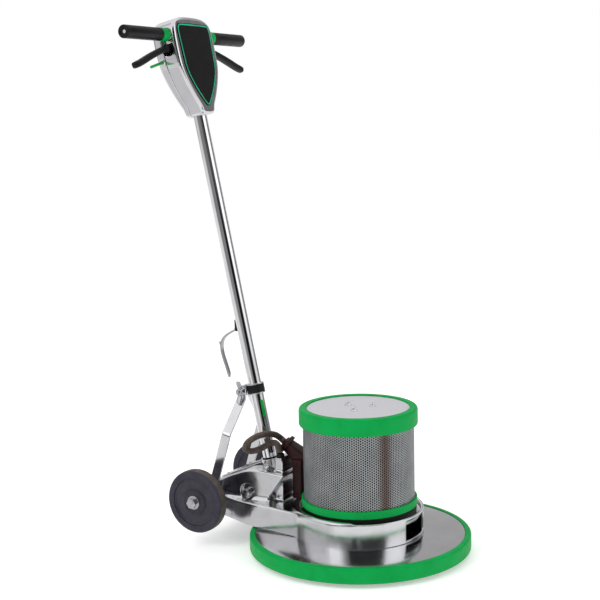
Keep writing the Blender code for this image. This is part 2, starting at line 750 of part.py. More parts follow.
def make_hook():
    root_t = (0.4515 - FOOT.z) / math.cos(LEAN)
    path = [
        on_tube(root_t + 0.0300, -0.0178),
        on_tube(root_t + 0.0160, -0.0180),
        on_tube(root_t + 0.0080, -0.0215),
        on_tube(root_t + 0.0030, -0.0350),
        on_tube(root_t - 0.0040, -0.0510),
        on_tube(root_t - 0.0150, -0.0620),
        on_tube(root_t - 0.0320, -0.0665),
        on_tube(root_t - 0.0560, -0.0650),
        on_tube(root_t - 0.0950, -0.0620),
    ]
    add("cord_hook", strip(path, (0, 1, 0), 0.0130, 0.0050), "polished_aluminium", PIVOT)


def head_outline(inset):
    """Front view of the head as (y, t) points, set in by a wall."""
    half = (
        (0.0070, 0.0190),
        (0.0240, 0.0290),
        (0.0480, 0.0460),
        (0.0780, 0.0625),
        (0.1080, 0.0730),
        (0.1420, 0.0755),
        (0.1780, 0.0745),
        (0.2010, 0.0700),
        (0.2130, 0.0560),
        (0.2200, 0.0280),
    )
    right = [Vector((w, t)) for t, w in half]
    points = right + [Vector((-w, t)) for t, w in reversed(half)]
    out = []
    for k, p in enumerate(points):
        along = (points[(k + 1) % len(points)] - points[k - 1]).normalized()
        outward = Vector((along.y, -along.x))
        out.append(p - outward * inset)
    return out


def head_loop(n, inset):
    """Section of the head at depth n; behind the seam it gets shallower towards the lower end."""
    loop = []
    for p in head_outline(inset):
        share = min(1.0, REAR_SHARE + (1 - REAR_SHARE) * p.y / REAR_TAPER_T)
        depth = SEAM_N + (n - SEAM_N) * share if n < SEAM_N else n
        loop.append(on_tube(HEAD_T + p.y, depth, p.x))
    return loop


def shell(outside, inside):
    """Open clamshell half: outer and inner sections from the seam to the face, as one closed body."""
    bm = bmesh.new()
    outer = [[bm.verts.new(p) for p in head_loop(n, inset)] for n, inset in outside]
    inner = [[bm.verts.new(p) for p in head_loop(n, inset)] for n, inset in inside]
    for loops in (outer, inner):
        for a, b in zip(loops, loops[1:]):
            bridge(bm, a, b)
        last = loops[-1]
        for k in range(len(last) // 2 - 1):
            bm.faces.new([last[k], last[k + 1], last[-2 - k], last[-1 - k]])
    bridge(bm, outer[0], inner[0])
    return bm


def cut_head_openings(obj):
    far = Vector((0, 0.20, 0))
    bar = on_tube(BAR_T, BAR_N)
    cut(obj, rod(bar - far, bar + far, BAR_R + GAP, SMALL))
    cut(obj, rod(on_tube(HEAD_T - 0.02, 0), on_tube(HEAD_T + 0.0515, 0), TUBE_R + GAP, SMALL))


def make_head():
    wall = HEAD_WALL
    front = shell(
        [(SEAM_N, 0.0), (0.0120, 0.0008), (0.0215, 0.0035), (0.0270, 0.0085)],
        [(SEAM_N, wall), (0.0120, wall + 0.0008), (0.0235, wall + 0.0050)],
    )
    front = add("head_front_shell", front, "polished_aluminium", PIVOT)
    rear = shell(
        [(SEAM_N - GAP, 0.0), (-0.0210, 0.0012), (-0.0310, 0.0060), (-0.0360, 0.0140)],
        [(SEAM_N - GAP, wall), (-0.0210, wall + 0.0012), (-0.0325, wall + 0.0085)],
    )
    rear = add("head_rear_shell", rear, "polished_aluminium", PIVOT)
    cut_head_openings(front)
    cut_head_openings(rear)
    for side in (-1, 1):
        low = (LEVER_PIVOT_T - 0.0120, LEVER_PIVOT_T + 0.0120)
        n0, n1 = LEVER_N - LEVER_W / 2 - 0.001, LEVER_N + LEVER_W / 2 + 0.001
        corners = [on_tube(t, n) for t, n in ((low[0], n0), (low[0], n1), (low[1], n1), (low[1], n0))]
        y0, y1 = sorted((side * 0.045, side * 0.095))
        cut(front, slab([(p.x, p.z) for p in corners], y0, y1, "Y"))
    pin_root, pin_out = lock_pin_line()
    cut(rear, rod(pin_root, pin_root + pin_out * 0.05, 0.0036, TINY))
    gland = on_tube(GLAND_T, 0)
    cut(rear, rod(gland - AHEAD * 0.018, gland - AHEAD * 0.05, 0.0078, SMALL))

    face_n = 0.0273
    section = [head_loop(face_n + depth, 0.0100 + depth) for depth in (0.0, 0.0012)]
    add("decal_panel", loft(section), "black_plastic", PIVOT)
    switch_side = ((0.100, -0.018), (0.100, 0.018), (0.152, 0.018), (0.152, -0.018))
    body = [on_tube(HEAD_T + t, n) for t, n in switch_side]
    switch = slab([(p.x, p.z) for p in body], -0.0270, 0.0270, "Y")
    add("power_switch", switch, "black_plastic", PIVOT, smooth=False)
    profile = [
        (0.0074, GLAND_FACE - 0.0090),
        (0.0074, GLAND_FACE),
        (0.0115, GLAND_FACE),
        (0.0115, GLAND_FACE + 0.0050),
        (0.0085, GLAND_FACE + 0.0135),
    ]
    add("cord_gland", turn(spindle(profile, SMALL), -AHEAD, gland), "black_plastic", PIVOT)


def make_handlebar():
    centre = on_tube(BAR_T, BAR_N)
    half = Vector((0, BAR_HALF, 0))
    add("handlebar", tube(centre - half, centre + half, BAR_R, 0.0088, SMALL), "chrome", PIVOT)
    bore = BAR_R + GAP
    grip = [
        (bore, GRIP_FROM),
        (GRIP_R, GRIP_FROM),
        (GRIP_R, GRIP_TO - 0.003),
        (GRIP_R - 0.002, GRIP_TO),
        (0.0050, GRIP_TO),
        (0.0050, BAR_HALF + GAP),
        (bore, BAR_HALF + GAP),
    ]
    collar_to = GRIP_FROM - GAP
    collar = [(bore, COLLAR_FROM), (COLLAR_R, COLLAR_FROM), (COLLAR_R, collar_to), (bore, collar_to)]
    for side, name in ((-1, "right"), (1, "left")):
        out = (0, side, 0)
        add(f"grip_{name}", turn(turned(grip, SMALL), out, centre), "black_plastic", PIVOT)
        add(f"grip_collar_{name}", turn(turned(collar, SMALL), out, centre), "green_rubber", PIVOT)


def make_levers():
    path = (
        (0.0560, 0.0020),
        (0.0680, 0.0020),
        (0.0820, 0.0009),
        (0.1030, -0.0045),
        (0.1320, -0.0135),
        (0.1590, -0.0230),
        (0.1850, -0.0325),
        (0.2110, -0.0400),
    )
    pivot = on_tube(LEVER_PIVOT_T, LEVER_N)
    for side, name in ((-1, "right"), (1, "left")):
        points = [pivot + Vector((0, side * y, 0)) + UP_TUBE * rise for y, rise in path]
        origin = pivot + Vector((0, side * LEVER_PIVOT_Y, 0))
        add(f"switch_lever_{name}", strip(points, AHEAD, LEVER_W, LEVER_DEEP), "black_plastic", origin)


def lock_pin_line():
    """Root point inside the head and outward direction of the lock-out pin."""
    out = Vector((0, -math.cos(PIN_FALL), -math.sin(PIN_FALL)))
    mouth = on_tube(HEAD_T + 0.126, -0.0175, -0.0735)
    return mouth - out * 0.020, out


def make_lock_pin():
    root, out = lock_pin_line()
    pin = spindle([(0.0030, 0.0), (0.0030, 0.0640), (0.0022, 0.0650)], TINY)
    add("lock_pin", turn(pin, out, root), "green_rubber", origin=root)


# ---- sliding clamp and brace ----
def clamp_bolt_point():
    return on_tube(CLAMP_T, CLAMP_BACK)


def make_clamp():
    centre = on_tube(CLAMP_T, 0)
    bore = TUBE_R + GAP
    outer = 0.0195
    height = 0.0115
    flange = 0.0025

    def disc(low, high):
        ring = turned([(bore, low), (outer, low), (outer, high), (bore, high)], MEDIUM)
        return turn(ring, UP_TUBE, centre)

    collar = add("clamp_collar", disc(height - flange, height), "chrome", centre)
    unite(collar, disc(-height, flange - height))
    lean_turn = Matrix.Translation(centre) @ Matrix.Rotation(-LEAN, 4, "Y")
    saddle = sector(0.0190, 0.0225, math.radians(45), -height, height, 6)
    saddle.transform(lean_turn @ Matrix.Rotation(math.pi, 4, "Z"))
    unite(collar, saddle)
    bolt_point = clamp_bolt_point()
    far = Vector((0, 0.05, 0))
    for side in (-1, 1):
        y0, y1 = sorted((side * 0.0060, side * 0.0120))
        ear = box((-0.0330, y0, -height), (-0.0195, y1, height))
        ear.transform(lean_turn)
        unite(collar, ear)
    cut(collar, rod(bolt_point - far, bolt_point + far, CLAMP_BOLT_R + GAP, TINY))
    low, high = GAP + flange - height, height - flange - GAP
    bush = turned([(bore, low), (0.0187, low), (0.0187, high), (bore, high)], MEDIUM)
    add("collar_bush", turn(bush, UP_TUBE, centre), "black_plastic", centre)
    bolt = [(CLAMP_BOLT_R, -0.0400), (CLAMP_BOLT_R, 0.0228), (0.0080, 0.0228), (0.0080, 0.0290)]
    add("clamp_bolt", turn(spindle(bolt, TINY), (0, 1, 0), bolt_point), "steel", bolt_point)

    hub = [(CLAMP_BOLT_R + GAP, 0.0228), (0.0085, 0.0228), (0.0075, 0.0360), (CLAMP_BOLT_R + GAP, 0.0360)]
    wing = add("wing_nut", turn(turned(hub, SMALL), (0, -1, 0), bolt_point), "chrome", bolt_point)
    for sign in (-1, 1):
        base = Vector((0, -0.0290, sign * 0.0065))
        tip = Vector((0, -0.0370, sign * 0.0270))
        blade = strip([bolt_point + base, bolt_point + tip], (1, 0, 0), 0.0100, 0.0035)
        unite(wing, blade)


def make_brace():
    top = clamp_bolt_point()
    top.y = ARM_TOP_Y
    elbow = ARM_BEND.lerp(top, 0.80)
    elbow.y = ARM_TOP_Y
    direction = (top - Vector((ARM_BEND.x, top.y, ARM_BEND.z))).normalized()
    eye = AXLE + Vector((0, ARM_Y, 0))
    down = (eye - ARM_BEND).normalized()
    path = [eye + down * 0.004, ARM_BEND, elbow, top + direction * 0.011]
    width_axis = Vector((math.cos(0.24), 0, -math.sin(0.24)))
    for side, name in ((-1, "right"), (1, "left")):
        bm = strip(path, width_axis, ARM_W, ARM_T)
        if side < 0:
            mirror_y(bm)
        arm = add(f"brace_arm_{name}", bm, "chrome", top)
        centre = Vector((AXLE.x, side * ARM_Y, AXLE.z))
        half = Vector((0, ARM_T / 2 + 0.0005, 0))
        unite(arm, rod(centre - half, centre + half, EYE_R, SMALL))
        cut(arm, rod(centre - half * 3, centre + half * 3, EYE_HOLE_R, MEDIUM))
        bolt = Vector((top.x, side * ARM_TOP_Y, top.z))
        cut(arm, rod(bolt - half * 3, bolt + half * 3, CLAMP_BOLT_R + 0.0005, TINY))


def main():
    clear_scene()
    make_materials()
    make_disc()
    make_pad()
    make_gearbox()
    make_rotor()
    make_motor()
    make_casting()
    make_pivot_and_axle()
    make_wheels()
    make_box_and_lead()
    make_handle_foot()
    make_hook()
    make_head()
    make_handlebar()
    make_levers()
    make_lock_pin()
    make_clamp()
    make_brace()


main()
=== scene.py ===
import itertools
import math

import bmesh
import bpy
import numpy as np
from mathutils import Matrix, Vector


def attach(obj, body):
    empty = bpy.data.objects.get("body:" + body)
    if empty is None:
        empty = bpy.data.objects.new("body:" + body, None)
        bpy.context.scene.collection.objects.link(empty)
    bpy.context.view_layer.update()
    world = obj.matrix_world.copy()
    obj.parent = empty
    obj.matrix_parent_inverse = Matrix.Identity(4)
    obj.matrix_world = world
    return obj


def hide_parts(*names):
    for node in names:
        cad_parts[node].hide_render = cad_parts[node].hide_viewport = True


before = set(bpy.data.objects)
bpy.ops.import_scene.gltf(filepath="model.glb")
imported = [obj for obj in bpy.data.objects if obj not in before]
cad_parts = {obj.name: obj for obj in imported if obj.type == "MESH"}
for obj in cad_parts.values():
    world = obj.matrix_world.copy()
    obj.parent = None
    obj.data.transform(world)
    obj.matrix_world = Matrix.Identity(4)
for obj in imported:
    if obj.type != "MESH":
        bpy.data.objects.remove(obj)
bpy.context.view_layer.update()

# ---- the part's own dimensions, in metres ----
GAP = 0.0003
BUMPER_R, APRON_R, PAD_R, PAD_T = 0.2350, 0.2225, 0.2030, 0.0200
RING_R, RING_INNER_R, RING_BASE_Z, RING_TOP_Z = 0.1355, 0.1290, 0.0447, 0.0965
SHELF_Z, SHELF_TOP_Z, SHELF_R = 0.0800, 0.0860, 0.1000
WINDOW_HALF_ANGLE = math.radians(18.5)
MOTOR_BASE_R, LOWER_BAND_R, COVER_R, TOP_BAND_R, TOP_PLATE_R = 0.1205, 0.1225, 0.1170, 0.1250, 0.1082
BAND_BASE_Z, COVER_BASE_Z, TOP_BAND_Z, MOTOR_TOP_Z = 0.1030, 0.1189, 0.2755, 0.3113
AXLE, AXLE_R = Vector((-0.325, 0.0, 0.0995)), 0.00635
WHEEL_R, WHEEL_W, WHEEL_Y, TYRE_BORE_R = 0.0690, 0.0270, 0.1310, 0.0522
LEAN = math.radians(11.7)
FOOT = Vector((-0.218, 0.0, 0.176))
UP_TUBE = Vector((-math.sin(LEAN), 0.0, math.cos(LEAN)))
AHEAD = Vector((math.cos(LEAN), 0.0, math.sin(LEAN)))
TUBE_R = 0.0145
PIVOT, PIVOT_R = Vector((-0.240, 0.0, 0.110)), 0.0063
SLOT_HALF, CHEEK_HALF, UPSTAND_HALF, DECK_Z = 0.0235, 0.0650, 0.0445, 0.0955
CLAMP_T, CLAMP_BACK, CLAMP_BOLT_R = (0.328 - FOOT.z) / math.cos(LEAN), -0.0240, 0.0040
ARM_Y, ARM_W, ARM_T, ARM_TOP_Y = 0.0760, 0.0210, 0.0050, 0.0195
ARM_BEND = Vector((-0.281, ARM_Y, 0.238))
ARM_BEND_CUT, ARM_ELBOW_SHARE, ARM_TILT = 0.0045, 0.80, 0.24
EYE_R, EYE_HOLE_R = 0.0160, AXLE_R + 0.0031
HEAD_T, SEAM_N, HEAD_WALL = (0.915 - FOOT.z) / math.cos(LEAN), -0.0083, 0.0032
BAR_T, BAR_N, BAR_R, BAR_HALF = HEAD_T + 0.1797, 0.0050, 0.0105, 0.2190
GRIP_R, GRIP_FROM, GRIP_TO = 0.0138, 0.0985, 0.2225
COLLAR_R, COLLAR_FROM = 0.0143, 0.0765
LEVER_T, LEVER_N, LEVER_W = HEAD_T + 0.1495, 0.0030, 0.0170
PIN_FALL = math.radians(14)
GLAND_T, GLAND_FACE = HEAD_T + 0.070, 0.0313
REAR_DEPTH, REAR_SHARE, REAR_TAPER_T = 0.0356, 0.55, 0.150
LEAD_R = 0.0068
LEAD_ROUTE = (
    (-0.1749, -0.0118, 0.2193),
    (-0.1828, -0.0138, 0.2263),
    (-0.1890, -0.0270, 0.2360),
    (-0.1970, -0.0500, 0.2415),
    (-0.2095, -0.0695, 0.2390),
    (-0.2235, -0.0800, 0.2285),
    (-0.2305, -0.0810, 0.2165),
    (-0.2290, -0.0750, 0.2080),
    (-0.2208, -0.0660, 0.2055),
    (-0.2087, -0.0560, 0.2095),
    (-0.1988, -0.0470, 0.2155),
    (-0.1905, -0.0395, 0.2195),
    (-0.1830, -0.0355, 0.2200),
    (-0.1760, -0.0347, 0.2135),
    (-0.1714, -0.0345, 0.2008),
)
GROMMET = Vector((-0.1712, -0.0345, 0.1900))
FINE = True


# ---- camera ----
CAMERA_AT = Vector((1.1461, -2.2768, 0.9059))
CAMERA_SIDE = math.radians(29.34)
CAMERA_FALL = math.radians(8.21)
CAMERA_ROLL = math.radians(-1.29)
CAMERA_LENS = 74.5


def make_camera():
    data = bpy.data.cameras.new("camera")
    data.sensor_width = 36.0
    data.lens = CAMERA_LENS
    camera = bpy.data.objects.new("camera", data)
    bpy.context.scene.collection.objects.link(camera)
    flat = Vector((-math.sin(CAMERA_SIDE), math.cos(CAMERA_SIDE), 0.0))
    look = flat * math.cos(CAMERA_FALL) - Vector((0, 0, math.sin(CAMERA_FALL)))
    turn_to = look.to_track_quat("-Z", "Y").to_matrix().to_4x4()
    camera.matrix_world = Matrix.Translation(CAMERA_AT) @ turn_to @ Matrix.Rotation(CAMERA_ROLL, 4, "Z")
    bpy.context.scene.camera = camera


# ---- materials ----
def wire(tree, kind, inputs=(), out=0, **attributes):
    """Adds a shader node and returns one of its outputs; an input is a value or another node's output."""
    made = tree.nodes.new("ShaderNode" + kind)
    for key, value in attributes.items():
        setattr(made, key, value)
    for key, value in dict(inputs).items():
        if isinstance(value, bpy.types.NodeSocket):
            tree.links.new(value, made.inputs[key])
        else:
            made.inputs[key].default_value = value
    return made.outputs[out]


def closeness(tree, value, middle, outer, inner):
    """Mask that rises smoothly from 0 at a distance outer from the middle to 1 at a distance inner."""
    away = wire(tree, "Math", {0: value, 1: middle}, operation="SUBTRACT")
    away = wire(tree, "Math", {0: away}, operation="ABSOLUTE")
    inputs = {0: away, 1: outer, 2: inner, 3: 0.0, 4: 1.0}
    return wire(tree, "MapRange", inputs, interpolation_type="SMOOTHSTEP")


class Surface:
    """A Principled material in the part's own coordinates, in metres, with short ways to add detail."""

    def __init__(self, name, color, roughness, metallic=0.0, **sockets):
        self.mat = bpy.data.materials.new(name)
        self.mat.use_nodes = True
        self.tree = self.mat.node_tree
        self.shader = self.tree.nodes["Principled BSDF"]
        self.set("Base Color", (*color, 1.0))
        self.set("Roughness", roughness)
        self.set("Metallic", metallic)
        for key, value in sockets.items():
            self.set(key.replace("_", " "), value)
        self.place = wire(self.tree, "TexCoord", out=3)
        self.heights = []

    def set(self, key, value):
        self.shader.inputs[key].default_value = value

    def noise(self, scale, detail=3.0, stretch=(1, 1, 1), rough=0.55):
        place = wire(self.tree, "Mapping", {"Vector": self.place, "Scale": stretch})
        inputs = {"Vector": place, "Scale": scale, "Detail": detail, "Roughness": rough}
        return wire(self.tree, "TexNoise", inputs)

    def coordinate(self, axis):
        return wire(self.tree, "SeparateXYZ", {0: self.place}, out=axis)

    def polar(self):
        """Coordinates (radius, height, 0) about the motor's axis, for marks left by turning."""
        x, y, z = (self.coordinate(axis) for axis in range(3))
        flat = wire(self.tree, "CombineXYZ", {0: x, 1: y})
        radius = wire(self.tree, "VectorMath", {0: flat}, out=1, operation="LENGTH")
        return wire(self.tree, "CombineXYZ", {0: radius, 1: z})

    def ramp(self, value, low, high, *colors):
        """Base colour from a value: the colours are spread evenly from low to high."""
        made = self.tree.nodes.new("ShaderNodeValToRGB")
        self.tree.links.new(value, made.inputs[0])
        while len(made.color_ramp.elements) < len(colors):
            made.color_ramp.elements.new(0.5)
        for k, color in enumerate(colors):
            made.color_ramp.elements[k].position = low + (high - low) * k / (len(colors) - 1)
            made.color_ramp.elements[k].color = (*color, 1.0)
        self.tree.links.new(made.outputs[0], self.shader.inputs["Base Color"])
        return self

    def clouded(self, value, low_color, high_color):
        """A colour between two, from a value; it is returned and not joined to the shader."""
        made = self.tree.nodes.new("ShaderNodeValToRGB")
        self.tree.links.new(value, made.inputs[0])
        for element, at, color in zip(made.color_ramp.elements, (0.3, 0.7), (low_color, high_color)):
            element.position = at
            element.color = (*color, 1.0)
        return made.outputs[0]

    def band(self, base, middle, half, color):
        """Base colour with an upright, soft-edged band of painted shade at a bearing about the motor's
        axis, in degrees.
        """
        x, y = (self.coordinate(axis) for axis in range(2))
        bearing = wire(self.tree, "Math", {0: y, 1: x}, operation="ARCTAN2")
        mask = closeness(self.tree, bearing, math.radians(middle), math.radians(half), 0.0)
        mixed = wire(self.tree, "MixRGB", {0: mask, 1: base, 2: (*color, 1.0)})
        self.tree.links.new(mixed, self.shader.inputs["Base Color"])
        return self

    def rough(self, value, low, high, spread=(0.3, 0.7)):
        inputs = {0: value, 1: spread[0], 2: spread[1], 3: low, 4: high}
        self.tree.links.new(wire(self.tree, "MapRange", inputs), self.shader.inputs["Roughness"])
        return self

    def bump(self, height, distance, strength=1.0):
        """Relief of a height in metres; several calls stack."""
        inputs = {"Height": height, "Distance": distance, "Strength": strength}
        if self.heights:
            inputs["Normal"] = self.heights[-1]
        self.heights.append(wire(self.tree, "Bump", inputs))
        for link in list(self.shader.inputs["Normal"].links):
            self.tree.links.remove(link)
        self.tree.links.new(self.heights[-1], self.shader.inputs["Normal"])
        return self


def tint(color, factor):
    return tuple(c * factor for c in color)


def polished(name, color, roughness, wave=0.00012, wave_scale=16.0):
    """Buffed metal: soft waves, cloudy buffing marks and fine scratches."""
    s = Surface(name, color, roughness, 1.0)
    cloud = s.noise(22.0, 5.0)
    s.ramp(cloud, 0.25, 0.75, tint(color, 0.90), color, tint(color, 1.04))
    s.rough(s.noise(60.0, 4.0), roughness * 0.8, roughness * 1.3)
    s.bump(s.noise(wave_scale, 1.0), wave)
    s.bump(s.noise(900.0, 2.0, stretch=(0.15, 1, 1)), 0.000004)
    return s.mat


def plastic(name, color, roughness, grain=700.0, depth=0.00002, gloss=0.5):
    """Moulded plastic: fine texture, slight fading and handling marks."""
    s = Surface(name, color, roughness, Specular_IOR_Level=gloss)
    s.ramp(s.noise(35.0, 4.0), 0.3, 0.7, tint(color, 0.8), color, tint(color, 1.25))
    s.rough(s.noise(90.0, 5.0), roughness * 0.8, roughness * 1.3)
    s.bump(s.noise(grain, 2.0), depth)
    return s.mat


def mottled(name, color, roughness, metallic, shades, patches, dulling, relief, **sockets):
    """Patches of colour, uneven roughness and fine relief; each noise is (scale, detail, ...)."""
    s = Surface(name, color, roughness, metallic, **sockets)
    s.ramp(s.noise(*patches), 0.3, 0.7, *shades)
    if dulling:
        noise, low, high = dulling
        s.rough(s.noise(*noise), low, high)
    noise, depth = relief
    s.bump(s.noise(*noise), depth)
    return s.mat


# Painted shade: a soft brown band down the perforated sheet, darker where shade falls on it; bearing of its
# middle and half width, in degrees.
SHADE_BAND_ANGLE, SHADE_BAND_HALF = -36.0, 11.0


def make_materials():
    made = {}
    aluminium = (0.74, 0.74, 0.76)
    made["casting"] = polished("buffed_casting", aluminium, 0.16)
    made["head_casting"] = polished("buffed_head", (0.76, 0.76, 0.79), 0.16)
    made["chrome"] = polished("chrome_plate", (0.86, 0.86, 0.88), 0.05, 0.00002, 30.0)
    made["brace"] = polished("plated_bar", (0.84, 0.84, 0.86), 0.14, 0.00004, 40.0)
    made["clamp"] = polished("bright_clamp", (0.70, 0.70, 0.72), 0.20, 0.00006, 60.0)
    made["hook"] = polished("satin_hook", (0.60, 0.58, 0.61), 0.30, 0.00008, 60.0)
    made["zinc"] = polished("zinc_plate", (0.62, 0.62, 0.65), 0.26, 0.00005, 90.0)

    apron = Surface("turned_apron", aluminium, 0.16, 1.0)
    rings = wire(apron.tree, "TexNoise", {"Vector": apron.polar(), "Scale": 700.0, "Detail": 4.0})
    apron.ramp(apron.noise(18.0, 5.0), 0.25, 0.75, tint(aluminium, 0.88), aluminium)
    apron.rough(rings, 0.10, 0.22).bump(rings, 0.000006).bump(apron.noise(14.0, 1.0), 0.00010)
    made["apron"] = apron.mat

    green = (0.0, 0.36, 0.068)
    shades = (tint(green, 0.90), green, (0.0, 0.380, 0.074))
    made["green_rubber"] = mottled("green_rubber", green, 0.55, 0.0, shades, (30.0, 4.0),
                                   ((80.0, 4.0), 0.40, 0.58), ((1200.0, 2.0), 0.000015),
                                   Specular_IOR_Level=0.12)
    made["green_plastic"] = plastic("green_plastic", (0.0, 0.33, 0.045), 0.32, 500.0, 0.000008)
    made["black_plastic"] = plastic("black_plastic", (0.008, 0.008, 0.009), 0.42, gloss=0.25)
    made["grip"] = plastic("grip_rubber", (0.006, 0.006, 0.008), 0.36, 900.0, 0.00001, 0.25)
    made["lever"] = plastic("lever_plastic", (0.006, 0.006, 0.007), 0.40, 500.0, 0.00003, 0.25)
    made["decal"] = plastic("decal_film", (0.007, 0.006, 0.007), 0.34, 300.0, 0.000004, 0.20)
    made["decal_line"] = plastic("decal_line", (0.020, 0.48, 0.24), 0.40, 300.0, 0.000004, 0.20)
    made["dark_brown"] = plastic("brown_enamel", (0.030, 0.006, 0.007), 0.40, 260.0, 0.00003, 0.25)
    made["driver"] = plastic("driver_plastic", (0.045, 0.045, 0.047), 0.60)

    shades = ((0.055, 0.036, 0.030), (0.105, 0.075, 0.062))
    made["cable"] = mottled("cable_jacket", (0.075, 0.050, 0.042), 0.36, 0.0, shades, (120.0, 4.0),
                            ((200.0, 3.0), 0.28, 0.46), ((420.0, 3.0), 0.00010))
    shades = ((0.022, 0.020, 0.032), (0.038, 0.034, 0.052))
    made["wheel"] = mottled("hub_moulding", (0.030, 0.027, 0.042), 0.45, 0.0, shades, (60.0, 5.0),
                            ((150.0, 4.0), 0.38, 0.58), ((900.0, 3.0), 0.00003))
    shades = ((0.030, 0.027, 0.042), (0.046, 0.042, 0.062))
    made["tyre"] = mottled("tyre_rubber", (0.038, 0.034, 0.052), 0.58, 0.0, shades, (45.0, 6.0),
                           ((160.0, 5.0), 0.48, 0.75), ((700.0, 4.0), 0.00006), Specular_IOR_Level=0.35)
    shades = ((0.055, 0.043, 0.040), (0.120, 0.095, 0.080))
    made["tread"] = mottled("tyre_tread", (0.085, 0.065, 0.055), 0.72, 0.0, shades, (70.0, 6.0),
                            ((160.0, 5.0), 0.6, 0.85), ((500.0, 5.0), 0.00010))

    sheet = Surface("perforated_sheet", (0.60, 0.62, 0.62), 0.38, 0.70)
    steel = sheet.clouded(sheet.noise(25.0, 5.0), (0.36, 0.38, 0.39), (0.50, 0.53, 0.54))
    # painted shade: a brown band down the sheet stands in for the shade on it
    sheet.band(steel, SHADE_BAND_ANGLE, SHADE_BAND_HALF, (0.20, 0.15, 0.13))
    sheet.rough(sheet.noise(500.0, 3.0, stretch=(1, 1, 0.05)), 0.30, 0.46)
    made["perforated_steel"] = sheet.mat

    shades = ((0.64, 0.63, 0.67), (0.74, 0.73, 0.77))
    made["top_plate"] = mottled("satin_plate", (0.70, 0.69, 0.73), 0.50, 0.45, shades, (900.0, 2.0),
                                ((40.0, 4.0), 0.45, 0.56), ((1600.0, 2.0), 0.000010))
    shades = ((0.020, 0.008, 0.005), (0.042, 0.018, 0.012))
    made["liner"] = mottled("dust_liner", (0.030, 0.012, 0.008), 0.85, 0.0, shades, (60.0, 4.0),
                            None, ((700.0, 3.0), 0.00008), Specular_IOR_Level=0.1)

    made["gear_steel"] = polished("machined_steel", (0.45, 0.45, 0.46), 0.32, 0.00003, 80.0)
    made["lamination"] = polished("stacked_sheet", (0.20, 0.20, 0.21), 0.45, 0.00003, 80.0)
    shades = ((0.34, 0.12, 0.05), (0.62, 0.27, 0.11))
    made["copper"] = mottled("copper_wire", (0.50, 0.20, 0.08), 0.35, 1.0, shades, (300.0, 3.0),
                             None, ((900.0, 1.0, (0.2, 0.2, 1)), 0.0002))
    shades = ((0.12, 0.008, 0.008), (0.40, 0.03, 0.025))
    made["pad"] = mottled("pad_fibre", (0.30, 0.02, 0.02), 0.95, 0.0, shades, (600.0, 6.0),
                          None, ((450.0, 6.0, (1, 1, 1), 0.7), 0.0012))
    # painted shade: the gear case and end bell sit in shade inside the drum, so their cast grey is painted
    # dark
    shades = ((0.05, 0.05, 0.055), (0.14, 0.14, 0.145))
    made["dark_casting"] = mottled("case_shadow", (0.10, 0.10, 0.105), 0.55, 0.6, shades, (80.0, 4.0),
                                   None, ((300.0, 3.0), 0.0001))
    return made


# ---- mesh tools ----
def fillet(points, steps=4, closed=True):
    """Outline with rounded corners; a point is (a, b) or (a, b, reach of the rounding)."""
    out = []
    for k, point in enumerate(points):
        here = Vector(point[:2])
        ends = not closed and k in (0, len(points) - 1)
        if len(point) < 3 or ends:
            out.append(tuple(here))
            continue
        before, after = Vector(points[k - 1][:2]) - here, Vector(points[(k + 1) % len(points)][:2]) - here
        reach = min(point[2], 0.49 * before.length, 0.49 * after.length)
        a, b = here + before.normalized() * reach, here + after.normalized() * reach
        for s in range(steps + 1):
            t = s / steps
            out.append(tuple(a * (1 - t) ** 2 + here * 2 * t * (1 - t) + b * t * t))
    return out


def smooth_route(points, per_span, closed=False):
    """Points of a Catmull-Rom curve through the given ones."""
    p = [Vector(q) for q in points]
    p = [p[-1]] + p + [p[0], p[1]] if closed else [2 * p[0] - p[1]] + p + [2 * p[-1] - p[-2]]
    out = []
    for k in range(1, len(p) - 2):
        for s in range(per_span):
            u = s / per_span
            a = 2 * p[k] + (p[k + 1] - p[k - 1]) * u
            b = (2 * p[k - 1] - 5 * p[k] + 4 * p[k + 1] - p[k + 2]) * u * u
            c = (3 * p[k] - p[k - 1] - 3 * p[k + 1] + p[k + 2]) * u * u * u
            out.append((a + b + c) / 2)
    return out if closed else out + [p[-2]]


def bridge(bm, a, b):
    count = max(len(a), len(b))
    for k in range(count):
        j = (k + 1) % count
        corners = [a[k % len(a)], a[j % len(a)], b[j % len(b)], b[k % len(b)]]
        bm.faces.new(dict.fromkeys(corners))


def ring_loop(bm, radius, z, segments):
    if radius <= 0:
        return [bm.verts.new((0, 0, z))]
    step = 2 * math.pi / segments
    angles = [k * step for k in range(segments)]
    return [bm.verts.new((radius * math.cos(a), radius * math.sin(a), z)) for a in angles]


def turned(profile, segments, closed=True):
    """Solid of revolution about +Z from (radius, z) points; closed=True is a ring's whole section."""
    bm = bmesh.new()
    loops = [ring_loop(bm, r, z, segments) for r, z in profile]
    for a, b in zip(loops, loops[1:]):
        bridge(bm, a, b)
    if closed:
        bridge(bm, loops[-1], loops[0])
    return bm


def spindle(profile, segments):
    """Solid of revolution whose profile, open at both ends, is closed on the axis."""
    points = fillet(profile, closed=False)
    return turned([(0, points[0][1])] + points + [(0, points[-1][1])], segments, closed=False)


def turn(bm, direction, centre):
    rotation = Vector((0, 0, 1)).rotation_difference(Vector(direction)).to_matrix().to_4x4()
    bm.transform(Matrix.Translation(Vector(centre)) @ rotation)
    return bm


def rod(a, b, radius, segments=48, edge=0.0):
    a, b = Vector(a), Vector(b)
    reach = (b - a).length
    profile = [(radius - edge, 0), (radius, 0, edge), (radius, reach, edge), (radius - edge, reach)]
    return turn(spindle(profile if edge else [(radius, 0), (radius, reach)], segments), b - a, a)


def loft(sections):
    bm = bmesh.new()
    loops = [[bm.verts.new(p) for p in section] for section in sections]
    for a, b in zip(loops, loops[1:]):
        bridge(bm, a, b)
    bm.faces.new(loops[0])
    bm.faces.new(loops[-1])
    return bm


